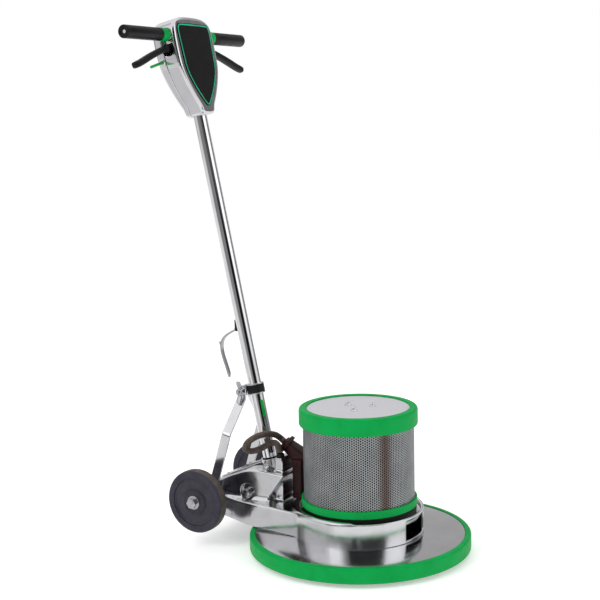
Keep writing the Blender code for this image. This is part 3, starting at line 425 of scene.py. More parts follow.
def bevelled(bm, width, segments=3, angle=30.0):
    bmesh.ops.recalc_face_normals(bm, faces=bm.faces)
    edges = [e for e in bm.edges if e.is_manifold and e.calc_face_angle(0.0) > math.radians(angle)]
    bmesh.ops.bevel(bm, geom=edges, offset=width, segments=segments, profile=0.5, affect="EDGES")
    return bm


def block(low, high, edge):
    (x0, y0, z0), (x1, y1, z1) = low, high
    corners = [(x0, y0), (x1, y0), (x1, y1), (x0, y1)]
    return bevelled(loft([[(x, y, z) for x, y in corners] for z in (z0, z1)]), edge)


def merged(*parts):
    """Several meshes as one piece."""
    whole = parts[0]
    for part in parts[1:]:
        mesh = bpy.data.meshes.new("part")
        part.to_mesh(mesh)
        part.free()
        whole.from_mesh(mesh)
        bpy.data.meshes.remove(mesh)
    return whole


def on_tube(t, n, y=0.0):
    """Point at t along the handle from its foot, n ahead of its axis and y to the side."""
    p = FOOT + UP_TUBE * t + AHEAD * n
    return Vector((p.x, y, p.z))


# Where the extra sections of a bar's rounded end are, as angles of a quarter circle.
ROUND_END_ANGLES = (0.35, 0.8, 1.2, math.pi / 2)


def sweep(path, sizes, width_axis, power=2.6, sides=20, round_ends=(True, True)):
    """Bar along a path; sizes are its half width and half thickness, one pair or one for each point."""
    width_axis = Vector(width_axis).normalized()
    if not isinstance(sizes[0], (tuple, list)):
        sizes = [sizes] * len(path)
    angles = [2 * math.pi * k / sides for k in range(sides)]
    curve = [(abs(math.cos(a)) ** (2 / power) * (1 if math.cos(a) > 0 else -1),
              abs(math.sin(a)) ** (2 / power) * (1 if math.sin(a) > 0 else -1)) for a in angles]
    sections = []
    for k, (point, (half_w, half_t)) in enumerate(zip(path, sizes)):
        along = (path[min(k + 1, len(path) - 1)] - path[max(k - 1, 0)]).normalized()
        normal = width_axis.cross(along).normalized()
        across = along.cross(normal).normalized()
        end = -1 if k == 0 else 1 if k == len(path) - 1 else 0
        rounded = end and round_ends[0 if k == 0 else 1]
        steps = [(1.0, 0.0)]
        if rounded:
            steps = [(math.sin(a), math.cos(a)) for a in ROUND_END_ANGLES]
        group = []
        for grow, forward in steps:
            r = min(half_w, half_t)
            w, t = half_w - r * (1 - grow), half_t - r * (1 - grow)
            centre = point + along * (end * (forward - 1) * r)
            group.append([centre + across * w * u + normal * t * v for u, v in curve])
        sections += group if k == 0 else group[::-1]
    return loft(sections)


# ---- objects ----
materials = make_materials()


def place(obj, material, body, slot=None, nodes=()):
    obj.data.materials.append(materials[material])
    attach(obj, body)
    if nodes:
        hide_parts(*nodes)
    return obj


def link(name, data):
    obj = bpy.data.objects.new(name, data)
    bpy.context.scene.collection.objects.link(obj)
    return obj


def piece(name, bm, material, body, slot=None, nodes=(), sharp=32.0):
    """A world-space bmesh as a named, smoothly shaded piece that rides on a body."""
    bmesh.ops.remove_doubles(bm, verts=bm.verts, dist=1e-6)
    bmesh.ops.recalc_face_normals(bm, faces=bm.faces)
    mesh = bpy.data.meshes.new(name)
    bm.to_mesh(mesh)
    bm.free()
    mesh.shade_smooth()
    mesh.set_sharp_from_angle(angle=math.radians(sharp))
    return place(link(name, mesh), material, body, slot, nodes)


def boolean(a, b, operation="DIFFERENCE"):
    """One bmesh cut by or joined with another."""
    objects = []
    for bm in (a, b):
        bmesh.ops.recalc_face_normals(bm, faces=bm.faces)
        mesh = bpy.data.meshes.new("boolean")
        bm.to_mesh(mesh)
        bm.free()
        objects.append(link("boolean", mesh))
    modifier = objects[0].modifiers.new("boolean", "BOOLEAN")
    modifier.operation = operation
    modifier.object = objects[1]
    bpy.context.view_layer.update()
    graph = bpy.context.evaluated_depsgraph_get()
    result = bmesh.new()
    result.from_object(objects[0], graph)
    for obj in objects:
        bpy.data.objects.remove(obj, do_unlink=True)
    return result


# ---- cast shapes, as distance fields ----
def length(*parts):
    return np.sqrt(sum(p * p for p in parts))


def soft_min(a, b, reach):
    """Union whose inner corner is filled by a fillet."""
    h = np.clip(0.5 + 0.5 * (b - a) / reach, 0.0, 1.0)
    return b + (a - b) * h - reach * h * (1.0 - h)


def soft_max(a, b, reach):
    """Intersection whose edge is rounded."""
    return -soft_min(-a, -b, reach)


def outline_distance(x, y, points):
    """Signed distance to a closed outline, negative inside it."""
    best = np.full(x.shape, 1e9)
    inside = np.zeros(x.shape, bool)
    for (ax, ay), (bx, by) in zip(points, points[1:] + points[:1]):
        ex, ey = bx - ax, by - ay
        wx, wy = x - ax, y - ay
        t = np.clip((wx * ex + wy * ey) / (ex * ex + ey * ey), 0.0, 1.0)
        best = np.minimum(best, (wx - ex * t) ** 2 + (wy - ey * t) ** 2)
        if ay != by:
            inside ^= ((ay > y) != (by > y)) & (x < ex * (y - ay) / ey + ax)
    return np.where(inside, -1.0, 1.0) * np.sqrt(best)


def extrude(flat, along, low, high, edge=0.0):
    """Body over an outline's distance, between two levels, its edges rounded."""
    a, b = flat + edge, np.abs(along - (low + high) / 2) - (high - low) / 2 + edge
    return np.minimum(np.maximum(a, b), 0.0) + length(np.maximum(a, 0.0), np.maximum(b, 0.0)) - edge


def slope_of(field, at, step=0.0002):
    value = field(*at.T)
    slope = np.empty_like(at)
    for axis in range(3):
        shift = np.zeros(3)
        shift[axis] = step
        slope[:, axis] = (field(*(at + shift).T) - field(*(at - shift).T)) / (2 * step)
    return value, slope


def grid_values(field, axes, blocks):
    """A field on a grid; away from the surface each block of cells takes the value at its middle."""
    cell = axes[0][1] - axes[0][0]
    middles = np.meshgrid(*[a[:-1:blocks] + blocks * cell / 2 for a in axes], indexing="ij")
    coarse = field(*[m.ravel() for m in middles]).reshape(middles[0].shape)
    near = np.abs(coarse) < blocks * cell * 1.2
    for axis in range(3):
        coarse, near = np.repeat(coarse, blocks, axis), np.repeat(near, blocks, axis)
    coarse, near = np.pad(coarse, (0, 1), mode="edge"), np.pad(near, (0, 1), mode="edge")
    where = np.argwhere(near)
    coarse[near] = field(*[axes[k][where[:, k]] for k in range(3)])
    return coarse


def skin(name, field, low, high, cell, carry=None):
    """Mesh of the surface where a field is zero: one point in each cell it crosses, slid onto it."""
    blocks = 4
    counts = [blocks * math.ceil((b - a) / cell / blocks) for a, b in zip(low, high)]
    axes = [a + cell * np.arange(n + 1) for a, n in zip(low, counts)]
    values = grid_values(field, axes, blocks)
    inside = values < 0
    filled = sum(inside[i:i + counts[0], j:j + counts[1], k:k + counts[2]].astype(int)
                 for i, j, k in itertools.product((0, 1), repeat=3))
    active = (filled > 0) & (filled < 8)
    index = np.full(active.shape, -1)
    index[active] = np.arange(active.sum())
    cells = np.argwhere(active)
    total, hits = np.zeros(cells.shape), np.zeros(len(cells))
    for axis, pair in itertools.product(range(3), itertools.product((0, 1), repeat=2)):
        start = np.insert(pair, axis, 0)
        unit = np.eye(3, dtype=int)[axis]
        a, b = values[tuple((cells + start).T)], values[tuple((cells + start + unit).T)]
        crosses = (a < 0) != (b < 0)
        share = np.where(crosses, a / np.where(a == b, 1.0, a - b), 0.0)
        total += (start + share[:, None] * unit) * crosses[:, None]
        hits += crosses
    at = np.array(low) + cell * (cells + total / hits[:, None])
    for _ in range(4):
        value, slope = slope_of(field, at)
        move = -value[:, None] * slope / np.maximum((slope ** 2).sum(1), 0.2)[:, None]
        at += np.clip(move, -cell / 2, cell / 2)
    faces = []
    for axis in range(3):
        u, v = np.eye(3, dtype=int)[(axis + 1) % 3], np.eye(3, dtype=int)[(axis + 2) % 3]
        first = np.take(inside, np.arange(counts[axis]), axis)
        second = np.take(inside, np.arange(1, counts[axis] + 1), axis)
        rows = np.argwhere(first != second)
        limit = np.array(counts)
        limit[axis] += 1
        keep = np.all((rows - u - v >= 0) & (rows < limit), axis=1)
        rows = rows[keep]
        quad = np.stack([index[tuple(r.T)] for r in (rows, rows - u, rows - u - v, rows - v)], 1)
        out = first[tuple(rows.T)]
        faces.append(np.where(out[:, None], quad, quad[:, ::-1]))
    _, slope = slope_of(field, at)
    normals = slope / np.maximum(length(*slope.T), 1e-9)[:, None]
    if carry:
        at, normals = carry(at), carry(normals) - carry(np.zeros((1, 3)))
    mesh = bpy.data.meshes.new(name)
    mesh.from_pydata(at.tolist(), [], np.concatenate(faces).tolist())
    mesh.shade_smooth()
    mesh.normals_split_custom_set_from_vertices(normals.tolist())
    return link(name, mesh)


# Half of the tail's plan as (x, y), from inside the drum to the back; the first point is hidden.
TAIL_SIDE = ((0.040, 0.1235), (0.000, 0.1338), (-0.035, 0.1293), (-0.060, 0.1205), (-0.078, 0.1132),
             (-0.098, 0.1068), (-0.150, 0.0985), (-0.2155, 0.0890), (-0.290, 0.0722), (-0.352, 0.0660))


def make_tail_outline():
    """Plan of the tail, its flanks drawn through the stations as one smooth curve into the drum."""
    side = smooth_route([(x, y, 0) for x, y in TAIL_SIDE], 4)
    right = [(p.x, p.y) for p in side]
    return right + [(x, -y) for x, y in reversed(right)]


TAIL = make_tail_outline()
CHEEK = fillet([(-0.350, 0.0700), (-0.350, 0.1080, 0.006), (-0.338, 0.1220, 0.008), (-0.311, 0.1330, 0.004),
                (-0.245, 0.1600, 0.012), (-0.222, 0.1640, 0.012), (-0.147, 0.1580, 0.005),
                (-0.186, 0.1050, 0.010), (-0.186, 0.0700)])
UPSTAND = fillet([(-0.180, 0.080), (-0.180, 0.190, 0.002), (-0.164, 0.190, 0.003), (-0.161, 0.182, 0.003),
                  (-0.161, 0.080)])
DRUM = fillet([(RING_R, RING_BASE_Z), (RING_R, RING_TOP_Z, 0.0050), (0.1318, RING_TOP_Z, 0.001),
               (RING_INNER_R, 0.0950, 0.002), (RING_INNER_R, SHELF_TOP_Z, 0.004), (SHELF_R, SHELF_TOP_Z),
               (SHELF_R, SHELF_Z), (RING_INNER_R, SHELF_Z, 0.006), (RING_INNER_R, RING_BASE_Z)])


BELLY_X, BELLY_SLOPE = -0.230, 0.12
SLOT_X, SLOT_REACH = -0.2346, 0.0534
POCKET_BACK_X, POCKET_FRONT_X, POCKET_HALF, POCKET_Z = -0.1514, -0.1000, 0.0245, 0.0972
WINDOW_LOW_Z, WINDOW_TOP_Z = 0.0495, 0.0895
RECESS_X, RECESS_Z, RECESS_R, RECESS_DEPTH = -0.2380, 0.1130, 0.0175, 0.007
GROMMET_HOLE_R, GROMMET_HOLE_DEPTH = 0.0071, 0.022


def casting_field(x, y, z):
    """Distance to the casting: deck, cheeks and upstand, hollowed, joined to the drum and then drilled."""
    side = np.abs(y)
    radius = length(x, y)
    underside = np.where(x > BELLY_X, RING_BASE_Z, RING_BASE_Z + (BELLY_X - x) * BELLY_SLOPE)
    plan = outline_distance(x, y, TAIL)
    deck = soft_max(extrude(plan, z, RING_BASE_Z - 0.02, DECK_Z, 0.0060), underside - z, 0.002)
    cheek = extrude(outline_distance(x, z, CHEEK), y, -CHEEK_HALF, CHEEK_HALF, 0.0045)
    body = soft_min(deck, cheek, 0.016)
    upstand = extrude(outline_distance(x, z, UPSTAND), y, -UPSTAND_HALF, UPSTAND_HALF, 0.0020)
    body = soft_min(body, upstand, 0.006)
    hollow = extrude(np.maximum(plan + 0.0075, -0.300 - x), z, 0.0, 0.0780, 0.004)
    body = soft_max(body, -hollow, 0.002)
    slot = np.maximum(side - SLOT_HALF, np.abs(x - SLOT_X) - SLOT_REACH)
    body = soft_max(body, -slot, 0.0025)
    pocket = np.maximum(x - POCKET_FRONT_X, POCKET_BACK_X - x)
    pocket = np.maximum(pocket, np.maximum(side - POCKET_HALF, POCKET_Z - z))
    body = soft_max(body, -pocket, 0.0015)
    body = soft_max(body, (RING_R + RING_INNER_R) / 2 - 0.002 - radius, 0.004)
    drum = outline_distance(radius, z, DRUM)
    body = soft_min(body, drum, 0.018)
    angle = np.arctan2(y, x)
    window = extrude(radius * (np.abs(angle) - WINDOW_HALF_ANGLE), z, WINDOW_LOW_Z, WINDOW_TOP_Z, 0.003)
    window = np.maximum(window, np.maximum(RING_INNER_R - GAP - radius, -x))
    body = soft_max(body, -window, 0.0030)
    recess = length(x - RECESS_X, z - RECESS_Z) - RECESS_R
    recess = np.maximum(recess, CHEEK_HALF - RECESS_DEPTH - side)
    body = soft_max(body, -recess, 0.0020)
    for centre, hole in ((PIVOT, PIVOT_R), (AXLE, AXLE_R)):
        body = soft_max(body, hole + GAP - length(x - centre.x, z - centre.z), 0.001)
    grommet = length(x - GROMMET.x, y - GROMMET.y) - GROMMET_HOLE_R
    grommet = np.maximum(grommet, GROMMET.z - GROMMET_HOLE_DEPTH - z)
    return soft_max(body, -grommet, 0.001)


def make_casting():
    cell = 0.0018 if FINE else 0.0030
    obj = skin("casting_body", casting_field, (-0.356, -0.140, 0.040), (0.140, 0.140, 0.195), cell)
    place(obj, "casting", "chassis", nodes=["main_casting"])

    slope = Vector((0.066, 0, 0.027)).normalized()
    normal = Vector((-slope.z, 0, slope.x))
    start = Vector((-0.3095, 0, 0.1336)) + normal * GAP
    end = start + slope * 0.0620
    outline = [start, end, end + normal * 0.003, start + normal * 0.003]
    plates = []
    for side in (-1, 1):
        y0, y1 = side * (SLOT_HALF + 0.0005), side * 0.0535
        plates.append(bevelled(loft([[(p.x, y, p.z) for p in outline] for y in (y0, y1)]), 0.0008))
    back = start + slope * 0.0205
    outline = [start, back, back + normal * 0.003, start + normal * 0.003]
    plates.append(bevelled(loft([[(p.x, y, p.z) for p in outline] for y in (-0.030, 0.030)]), 0.0005))
    piece("rear_cover_plate", merged(*plates), "casting", "chassis", nodes=["rear_cover"])
    for side, share in itertools.product((-1, 1), (0.22, 0.80)):
        at = start + slope * 0.062 * share + normal * 0.0030 + Vector((0, side * 0.046, 0))
        head = spindle([(0.0038, -0.001), (0.0038, 0.0012, 0.0010), (0.0020, 0.0024, 0.0008)], 24)
        name = f"cover_screw_{'right' if side < 0 else 'left'}_{1 if share < 0.5 else 2}"
        piece(name, turn(head, normal, at), "zinc", "chassis")


# ---- disc, bumper, pad ----
ROUND = 192 if FINE else 96


def make_disc():
    skirt, flat_r, top, shoulder, low = 0.0025, 0.1400, 0.0442, 0.0402, 0.0125
    apron = fillet([
        (0.1100, top),
        (0.1100, top - skirt),
        (flat_r, top - skirt),
        (APRON_R - skirt, shoulder - skirt),
        (APRON_R - skirt, low),
        (APRON_R, low),
        (APRON_R, shoulder, 0.0012),
        (flat_r, top, 0.004),
    ])
    piece("apron_dish", turned(apron, ROUND), "apron", "chassis", nodes=["apron_disc"])
    bumper = fillet([
        (APRON_R + GAP, 0.0090),
        (BUMPER_R, 0.0090, 0.0040),
        (BUMPER_R, 0.0400, 0.0052),
        (APRON_R + 0.0050, 0.0415, 0.0020),
        (APRON_R + GAP, 0.0412, 0.0008),
    ], 6)
    piece("bumper_strip", turned(bumper, ROUND), "green_rubber", "chassis", nodes=["bumper_ring"])


def make_pad():
    top = PAD_T + GAP
    driver = [(0.1980, top), (0.2000, top + 0.0020, 0.001), (0.2000, top + 0.0090, 0.002),
              (0.0520, top + 0.0110), (0.0520, 0.0385, 0.001), (0.0435, 0.0385, 0.001),
              (0.0435, top + 0.0110)]
    piece("pad_holder", spindle(driver, ROUND), "driver", "drive", nodes=["pad_driver"])
    rng = np.random.default_rng(7)
    bm = bmesh.new()
    radii = [0.0, 0.04, 0.08, 0.12, 0.16, 0.185, PAD_R - 0.003, PAD_R - 0.0006]
    levels = [(r, 0.0) for r in radii] + [(PAD_R, z) for z in (0.003, 0.007, 0.011, 0.015)]
    levels += [(r, PAD_T) for r in reversed(radii[1:])]
    loops = [ring_loop(bm, r, z, ROUND) for r, z in levels] + [[bm.verts.new((0, 0, PAD_T))]]
    for a, b in zip(loops, loops[1:]):
        bridge(bm, a, b)
    for v in bm.verts:
        radius = math.hypot(v.co.x, v.co.y)
        if radius > 0.19:
            pull = 1 - 0.0011 * rng.random() / radius
            v.co.x, v.co.y = v.co.x * pull, v.co.y * pull
    piece("scrub_pad", bm, "pad", "drive", nodes=["floor_pad"])


# ---- motor ----
HOLE_PITCH = 0.0052
HOLE_R = 0.0020
SHEET_T = 0.0010
SHEET_LOW_Z, SHEET_TOP_Z = BAND_BASE_Z + 0.0002, 0.2998
SHEET_TURN = math.radians(8)
LINER_R, LINER_T, LINER_TOP_Z, PLEATS, PLEAT_DEPTH = 0.1140, 0.0012, 0.2990, 90, 0.0006
PLATE_TOP_Z, NUT_CIRCLE_R = 0.3085, 0.031
# Steps from a hole's middle to the eight grid points around it, in half pitches.
HOLE_NEIGHBOURS = ((-1, -1), (0, -1), (1, -1), (1, 0), (1, 1), (0, 1), (-1, 1), (-1, 0))


def perforated_half(first, last, columns, z0, rows):
    """Rolled sheet with staggered round holes, from one column to another, as one closed body."""
    bm = bmesh.new()
    pitch, width = HOLE_PITCH, 2 * math.pi / columns
    sheets = []
    for radius in (COVER_R, COVER_R - SHEET_T):
        grid = {}

        def corner(i, j, radius=radius, grid=grid):
            if (i, j) not in grid:
                angle, z = i * width / 2, z0 + j * pitch / 2
                if j < 0:
                    z = SHEET_LOW_Z
                if j > 2 * rows:
                    z = SHEET_TOP_Z
                grid[(i, j)] = bm.verts.new((radius * math.cos(angle), radius * math.sin(angle), z))
            return grid[(i, j)]

        holes = []
        for c in range(first, last):
            i = 2 * c + 1
            middles = range(1, 2 * rows, 2) if c % 2 == 0 else range(2, 2 * rows, 2)
            for j in middles:
                around = [(i + a, j + b) for a, b in HOLE_NEIGHBOURS]
                rim = []
                for a, b in around:
                    across, up = (a - i) * width / 2 * radius, (b - j) * pitch / 2
                    scale = HOLE_R / math.hypot(across, up)
                    angle, z = i * width / 2 + across * scale / radius, z0 + j * pitch / 2 + up * scale
                    rim.append(bm.verts.new((radius * math.cos(angle), radius * math.sin(angle), z)))
                outer = [corner(a, b) for a, b in around]
                bridge(bm, outer, rim)
                holes.append(rim)
            ends = [(-1, 0), (2 * rows, 2 * rows + 1)]
            if c % 2:
                ends += [(0, 1), (2 * rows - 1, 2 * rows)]
            for low, high in ends:
                for a in (i - 1, i):
                    bm.faces.new([corner(a, low), corner(a + 1, low), corner(a + 1, high), corner(a, high)])
        sheets.append((grid, holes))
    (outer_grid, outer_holes), (inner_grid, inner_holes) = sheets
    for a, b in zip(outer_holes, inner_holes):
        bridge(bm, a, b)
    for j in (-1, 2 * rows + 1):
        for i in range(2 * first, 2 * last):
            ends = [(i, j), (i + 1, j)]
            bm.faces.new([outer_grid[at] for at in ends] + [inner_grid[at] for at in reversed(ends)])
    for i in (2 * first, 2 * last):
        column = sorted(j for a, j in outer_grid if a == i)
        for a, b in zip(column, column[1:]):
            bm.faces.new([outer_grid[(i, a)], outer_grid[(i, b)], inner_grid[(i, b)], inner_grid[(i, a)]])
    return bm


def make_cover():
    columns = 2 * round(math.pi * COVER_R / (HOLE_PITCH * math.sqrt(3) / 2))
    rows = round((TOP_BAND_Z - COVER_BASE_Z + 0.003) / HOLE_PITCH)
    z0 = (TOP_BAND_Z + COVER_BASE_Z - rows * HOLE_PITCH) / 2
    half = columns // 2
    for name, first in (("cover_sheet_left", 0), ("cover_sheet_right", half)):
        sheet = perforated_half(first, first + half, columns, z0, rows)
        sheet.transform(Matrix.Rotation(SHEET_TURN, 4, "Z"))
        nodes = ["perforated_cover"] if first == 0 else ()
        piece(name, sheet, "perforated_steel", "chassis", nodes=nodes, sharp=50)


def make_liner():
    """Pleated dust liner behind the holes; it hardly shows in the photo, so its pleats are a guess."""
    bm = bmesh.new()
    steps = 4 * PLEATS
    low, inner = BAND_BASE_Z + 0.0010, LINER_R - LINER_T
    loops = []
    for radius, z in ((LINER_R, low), (LINER_R, LINER_TOP_Z), (inner, LINER_TOP_Z), (inner, low)):
        loop = []
        for k in range(steps):
            angle = 2 * math.pi * k / steps
            r = radius + PLEAT_DEPTH * math.cos(PLEATS * angle)
            loop.append(bm.verts.new((r * math.cos(angle), r * math.sin(angle), z)))
        loops.append(loop)
    for a, b in zip(loops, loops[1:] + loops[:1]):
        bridge(bm, a, b)
    piece("dust_liner", bm, "liner", "chassis", "dark_brown")


def make_motor():
    base = fillet([(0.0102, SHELF_TOP_Z + GAP), (MOTOR_BASE_R, SHELF_TOP_Z + GAP, 0.001),
                   (MOTOR_BASE_R, BAND_BASE_Z - GAP, 0.001), (MOTOR_BASE_R - 0.006, BAND_BASE_Z - GAP),
                   (0.0400, 0.0980, 0.01), (0.0240, 0.1100, 0.003), (0.0102, 0.1100)])
    piece("motor_foot", turned(base, ROUND), "black_plastic", "chassis", nodes=["motor_base"])
    lower = fillet([(COVER_R + GAP, BAND_BASE_Z), (LOWER_BAND_R, BAND_BASE_Z, 0.0015),
                    (LOWER_BAND_R, COVER_BASE_Z - GAP, 0.0020),
                    (COVER_R + GAP, COVER_BASE_Z - GAP, 0.0008)])
    piece("lower_rubber_band", turned(lower, ROUND), "green_rubber", "chassis", nodes=["lower_band"])
    lip = TOP_PLATE_R + GAP
    top = fillet([(COVER_R + GAP, TOP_BAND_Z, 0.001), (TOP_BAND_R, TOP_BAND_Z, 0.0020),
                  (TOP_BAND_R, MOTOR_TOP_Z, 0.0070), (lip, MOTOR_TOP_Z, 0.0016), (lip, 0.3008),
                  (COVER_R + GAP, 0.3008)], 7)
    piece("top_rubber_band", turned(top, ROUND), "green_rubber", "chassis", nodes=["top_band"])
    plate = [(TOP_PLATE_R, 0.3060), (TOP_PLATE_R, PLATE_TOP_Z, 0.0008), (TOP_PLATE_R - 0.004, PLATE_TOP_Z)]
    plate = spindle(plate, ROUND)
    piece("top_disc", plate, "top_plate", "chassis", nodes=["top_plate"])
    for number, degrees in enumerate((40, 160, 280), 1):
        angle = math.radians(degrees)
        at = (NUT_CIRCLE_R * math.cos(angle), NUT_CIRCLE_R * math.sin(angle), 0)
        washer = spindle([(0.0074, PLATE_TOP_Z), (0.0074, 0.3093, 0.0003), (0.003, 0.3093)], 32)
        hexagon = bevelled(spindle([(0.0058, 0.3090), (0.0058, 0.3128)], 6), 0.0005, 2)
        dome = spindle([(0.0050, 0.3110), (0.0050, 0.3162, 0.0049), (0.0001, 0.3162)], 32)
        nut = merged(washer, hexagon, dome)
        nut.transform(Matrix.Translation(at))
        piece(f"acorn_nut_{number}", nut, "chrome", "chassis", nodes=[f"dome_nut_{number}"])


# ---- wheels, axle and bolts ----
def hexagon_head(radius, low, high, edge):
    return bevelled(spindle([(radius, low), (radius, high)], 6), edge, 3, 20)


def make_wheels():
    half = WHEEL_W / 2
    boss, rim, bore = 0.0270, TYRE_BORE_R - GAP, AXLE_R + 0.0006
    bolt_y = WHEEL_Y + half + 0.0015
    face = [(bore, 0.0010), (0.0150, 0.0010), (0.0165, -0.0006, 0.0006), (boss - 0.004, -0.0006),
            (boss - 0.0020, 0.0012, 0.0012), (boss, 0.0012, 0.0008), (boss + 0.0015, -0.0030, 0.0012),
            (rim - 0.0050, -0.0034, 0.0015), (rim - 0.0030, -0.0014, 0.0008), (rim, -0.0015, 0.0005)]
    outer = [(r, half + z, *rest) for r, z, *rest in face]
    inner = [(r, -half - z, *rest) for r, z, *rest in reversed(face)]
    hub = fillet(outer + inner, 3)
    side_wall = [(TYRE_BORE_R, 0.0), (TYRE_BORE_R + 0.0008, 0.0004, 0.0004),
                 (TYRE_BORE_R + 0.0026, -0.0006, 0.0006),
                 (TYRE_BORE_R + 0.0045, 0.0, 0.0008), (WHEEL_R - 0.0040, -0.0002, 0.003),
                 (WHEEL_R - 0.0004, -0.0040, 0.0030)]
    walls = [(r, half + z, *rest) for r, z, *rest in side_wall]
    seam = [(WHEEL_R - 0.0004, 0.0012), (WHEEL_R, 0.0, 0.0006), (WHEEL_R - 0.0004, -0.0012)]
    tyre = fillet(walls + seam + [(r, -z, *rest) for r, z, *rest in reversed(walls)], 3)
    for sign, side in ((-1, "right"), (1, "left")):
        centre = AXLE + Vector((0, sign * WHEEL_Y, 0))
        out = (0, sign, 0)
        body = f"wheel_{side}"
        centre_part = turn(turned(hub, 96), out, centre)
        piece(f"wheel_centre_{side}", centre_part, "wheel", body, nodes=[f"wheel_hub_{side}"])
        ring = turn(turned(tyre, 128), out, centre)
        obj = piece(f"tyre_ring_{side}", ring, "tyre", body, nodes=[f"tyre_{side}"])
        obj.data.materials.append(materials["tread"])
        for face in obj.data.polygons:
            away = Vector((face.center.x - centre.x, 0, face.center.z - centre.z))
            if away.length > WHEEL_R - 0.0016 and abs(face.normal.y) < 0.8:
                face.material_index = 1

        end = AXLE + Vector((0, sign * bolt_y, 0))
        washer = spindle([(0.0148, GAP), (0.0148, 0.0020, 0.0006), (0.0080, 0.0020)], 48)
        head = hexagon_head(0.0118, 0.0015, 0.0112, 0.0010)
        tip = spindle([(0.0060, 0.010), (0.0060, 0.0120, 0.001), (0.003, 0.0120)], 32)
        bolt = turn(merged(washer, head, tip), out, end)
        piece(f"wheel_bolt_{side}", bolt, "zinc", "chassis", nodes=[f"axle_bolt_{side}"])

    reach = Vector((0, bolt_y, 0))
    axle = rod(AXLE - reach, AXLE + reach, AXLE_R, 64, 0.0006)
    piece("wheel_axle", axle, "gear_steel", "chassis", nodes=["axle"])
    shank = spindle([(PIVOT_R, -0.0600), (PIVOT_R, 0.0605, 0.001), (0.003, 0.0605)], 48)
    washer = spindle([(0.0108, -0.0612), (0.0108, -0.0592, 0.0004), (0.0060, -0.0592)], 40)
    head = hexagon_head(0.0092, -0.0700, -0.0605, 0.0008)
    screw = turn(merged(shank, washer, head), (0, 1, 0), PIVOT)
    piece("pivot_screw", screw, "zinc", "chassis", nodes=["pivot_bolt"])


# ---- electrical box and lead ----
def make_box():
    low, high = Vector((-0.1510, -0.0240, 0.0975)), Vector((-0.1262, 0.0240, 0.1840))
    wall = Vector((0.0010, 0.0010, 0.0))
    shell = block(low + wall, high - wall, 0.0030)
    lid = block(Vector((low.x, low.y, high.z - 0.016)), high, 0.0024)
    rib_low = Vector((low.x + 0.0003, low.y + 0.0003, low.z + 0.002))
    rib = block(rib_low, Vector((high.x - 0.0003, high.y - 0.0003, low.z + 0.012)), 0.0020)
    piece("switch_box", merged(shell, lid, rib), "dark_brown", "chassis", nodes=["junction_box"])
    for number, z in enumerate((0.1075, 0.1760), 1):
        at = Vector((low.x / 2 + high.x / 2, low.y, z))
        screw = spindle([(0.0032, -0.0010), (0.0032, 0.0006, 0.0005), (0.0016, 0.0014, 0.0005)], 24)
        piece(f"box_screw_{number}", turn(screw, (0, -1, 0), at), "dark_brown", "chassis")

    exit_point = Vector(LEAD_ROUTE[0])
    along = Vector((-0.74, -0.18, 0.65)).normalized()
    across = along.cross(Vector((0, 1, 0))).normalized()
    side = across.cross(along).normalized()
    face = exit_point - along * 0.0008

    def square(distance, half_side, half_across):
        centre = face - along * distance
        signs = ((-1, -1), (1, -1), (1, 1), (-1, 1))
        return [centre + side * half_side * a + across * half_across * b for a, b in signs]

    body = bevelled(loft([square(0.056, 0.0170, 0.0165), square(0.0, 0.0106, 0.0106)]), 0.0030)
    ears = bevelled(loft([square(0.0130, 0.0165, 0.0165), square(0.0040, 0.0155, 0.0155)]), 0.0016)
    nose = turn(spindle([(0.0090, -0.004), (0.0090, 0.0, 0.001), (0.0062, 0.0006)], 32), along, face)
    relief = boolean(boolean(body, ears, "UNION"), block(low - wall, high + wall, 0.0005))
    relief = boolean(relief, rod((0, 0, 0), (0, 0, 0.4), LOWER_BAND_R + 0.0015, 96))
    piece("lead_clamp", merged(relief, nose), "dark_brown", "chassis", nodes=["strain_relief"])
    for number, sign in enumerate((-1, 1), 1):
        at = face - along * 0.009 + side * 0.0125 * sign + across * 0.0164
        screw = spindle([(0.0026, -0.001), (0.0026, 0.0006, 0.0005), (0.0012, 0.0012, 0.0004)], 20)
        piece(f"clamp_screw_{number}", turn(screw, across, at), "zinc", "chassis")
    collar = spindle([(0.0068, -0.0180), (0.0068, GAP), (0.0092, GAP, 0.0004), (0.0090, 0.0040, 0.001),
                      (0.0072, 0.0084, 0.0008)], 40)
    piece("lead_bush", turn(collar, (0, 0, 1), GROMMET), "black_plastic", "chassis", nodes=["lead_grommet"])


def make_lead():
    curve = bpy.data.curves.new("lead_cable", "CURVE")
    curve.dimensions = "3D"
    curve.bevel_depth = LEAD_R
    curve.bevel_resolution = 6
    curve.use_fill_caps = True
    route = smooth_route(LEAD_ROUTE, 6)
    spline = curve.splines.new("POLY")
    spline.points.add(len(route) - 1)
    for point, at in zip(spline.points, route):
        point.co = (*at, 1.0)
    lead = place(link("lead_cable", curve), "cable", "chassis", nodes=["motor_lead"])


# ---- handle ----
# Label on the tube: where it starts and how wide it is, about the tube, and its ends along the tube.
LABEL_FROM, LABEL_WIDTH, LABEL_T = math.radians(-42), math.radians(26), (0.097, 0.129)


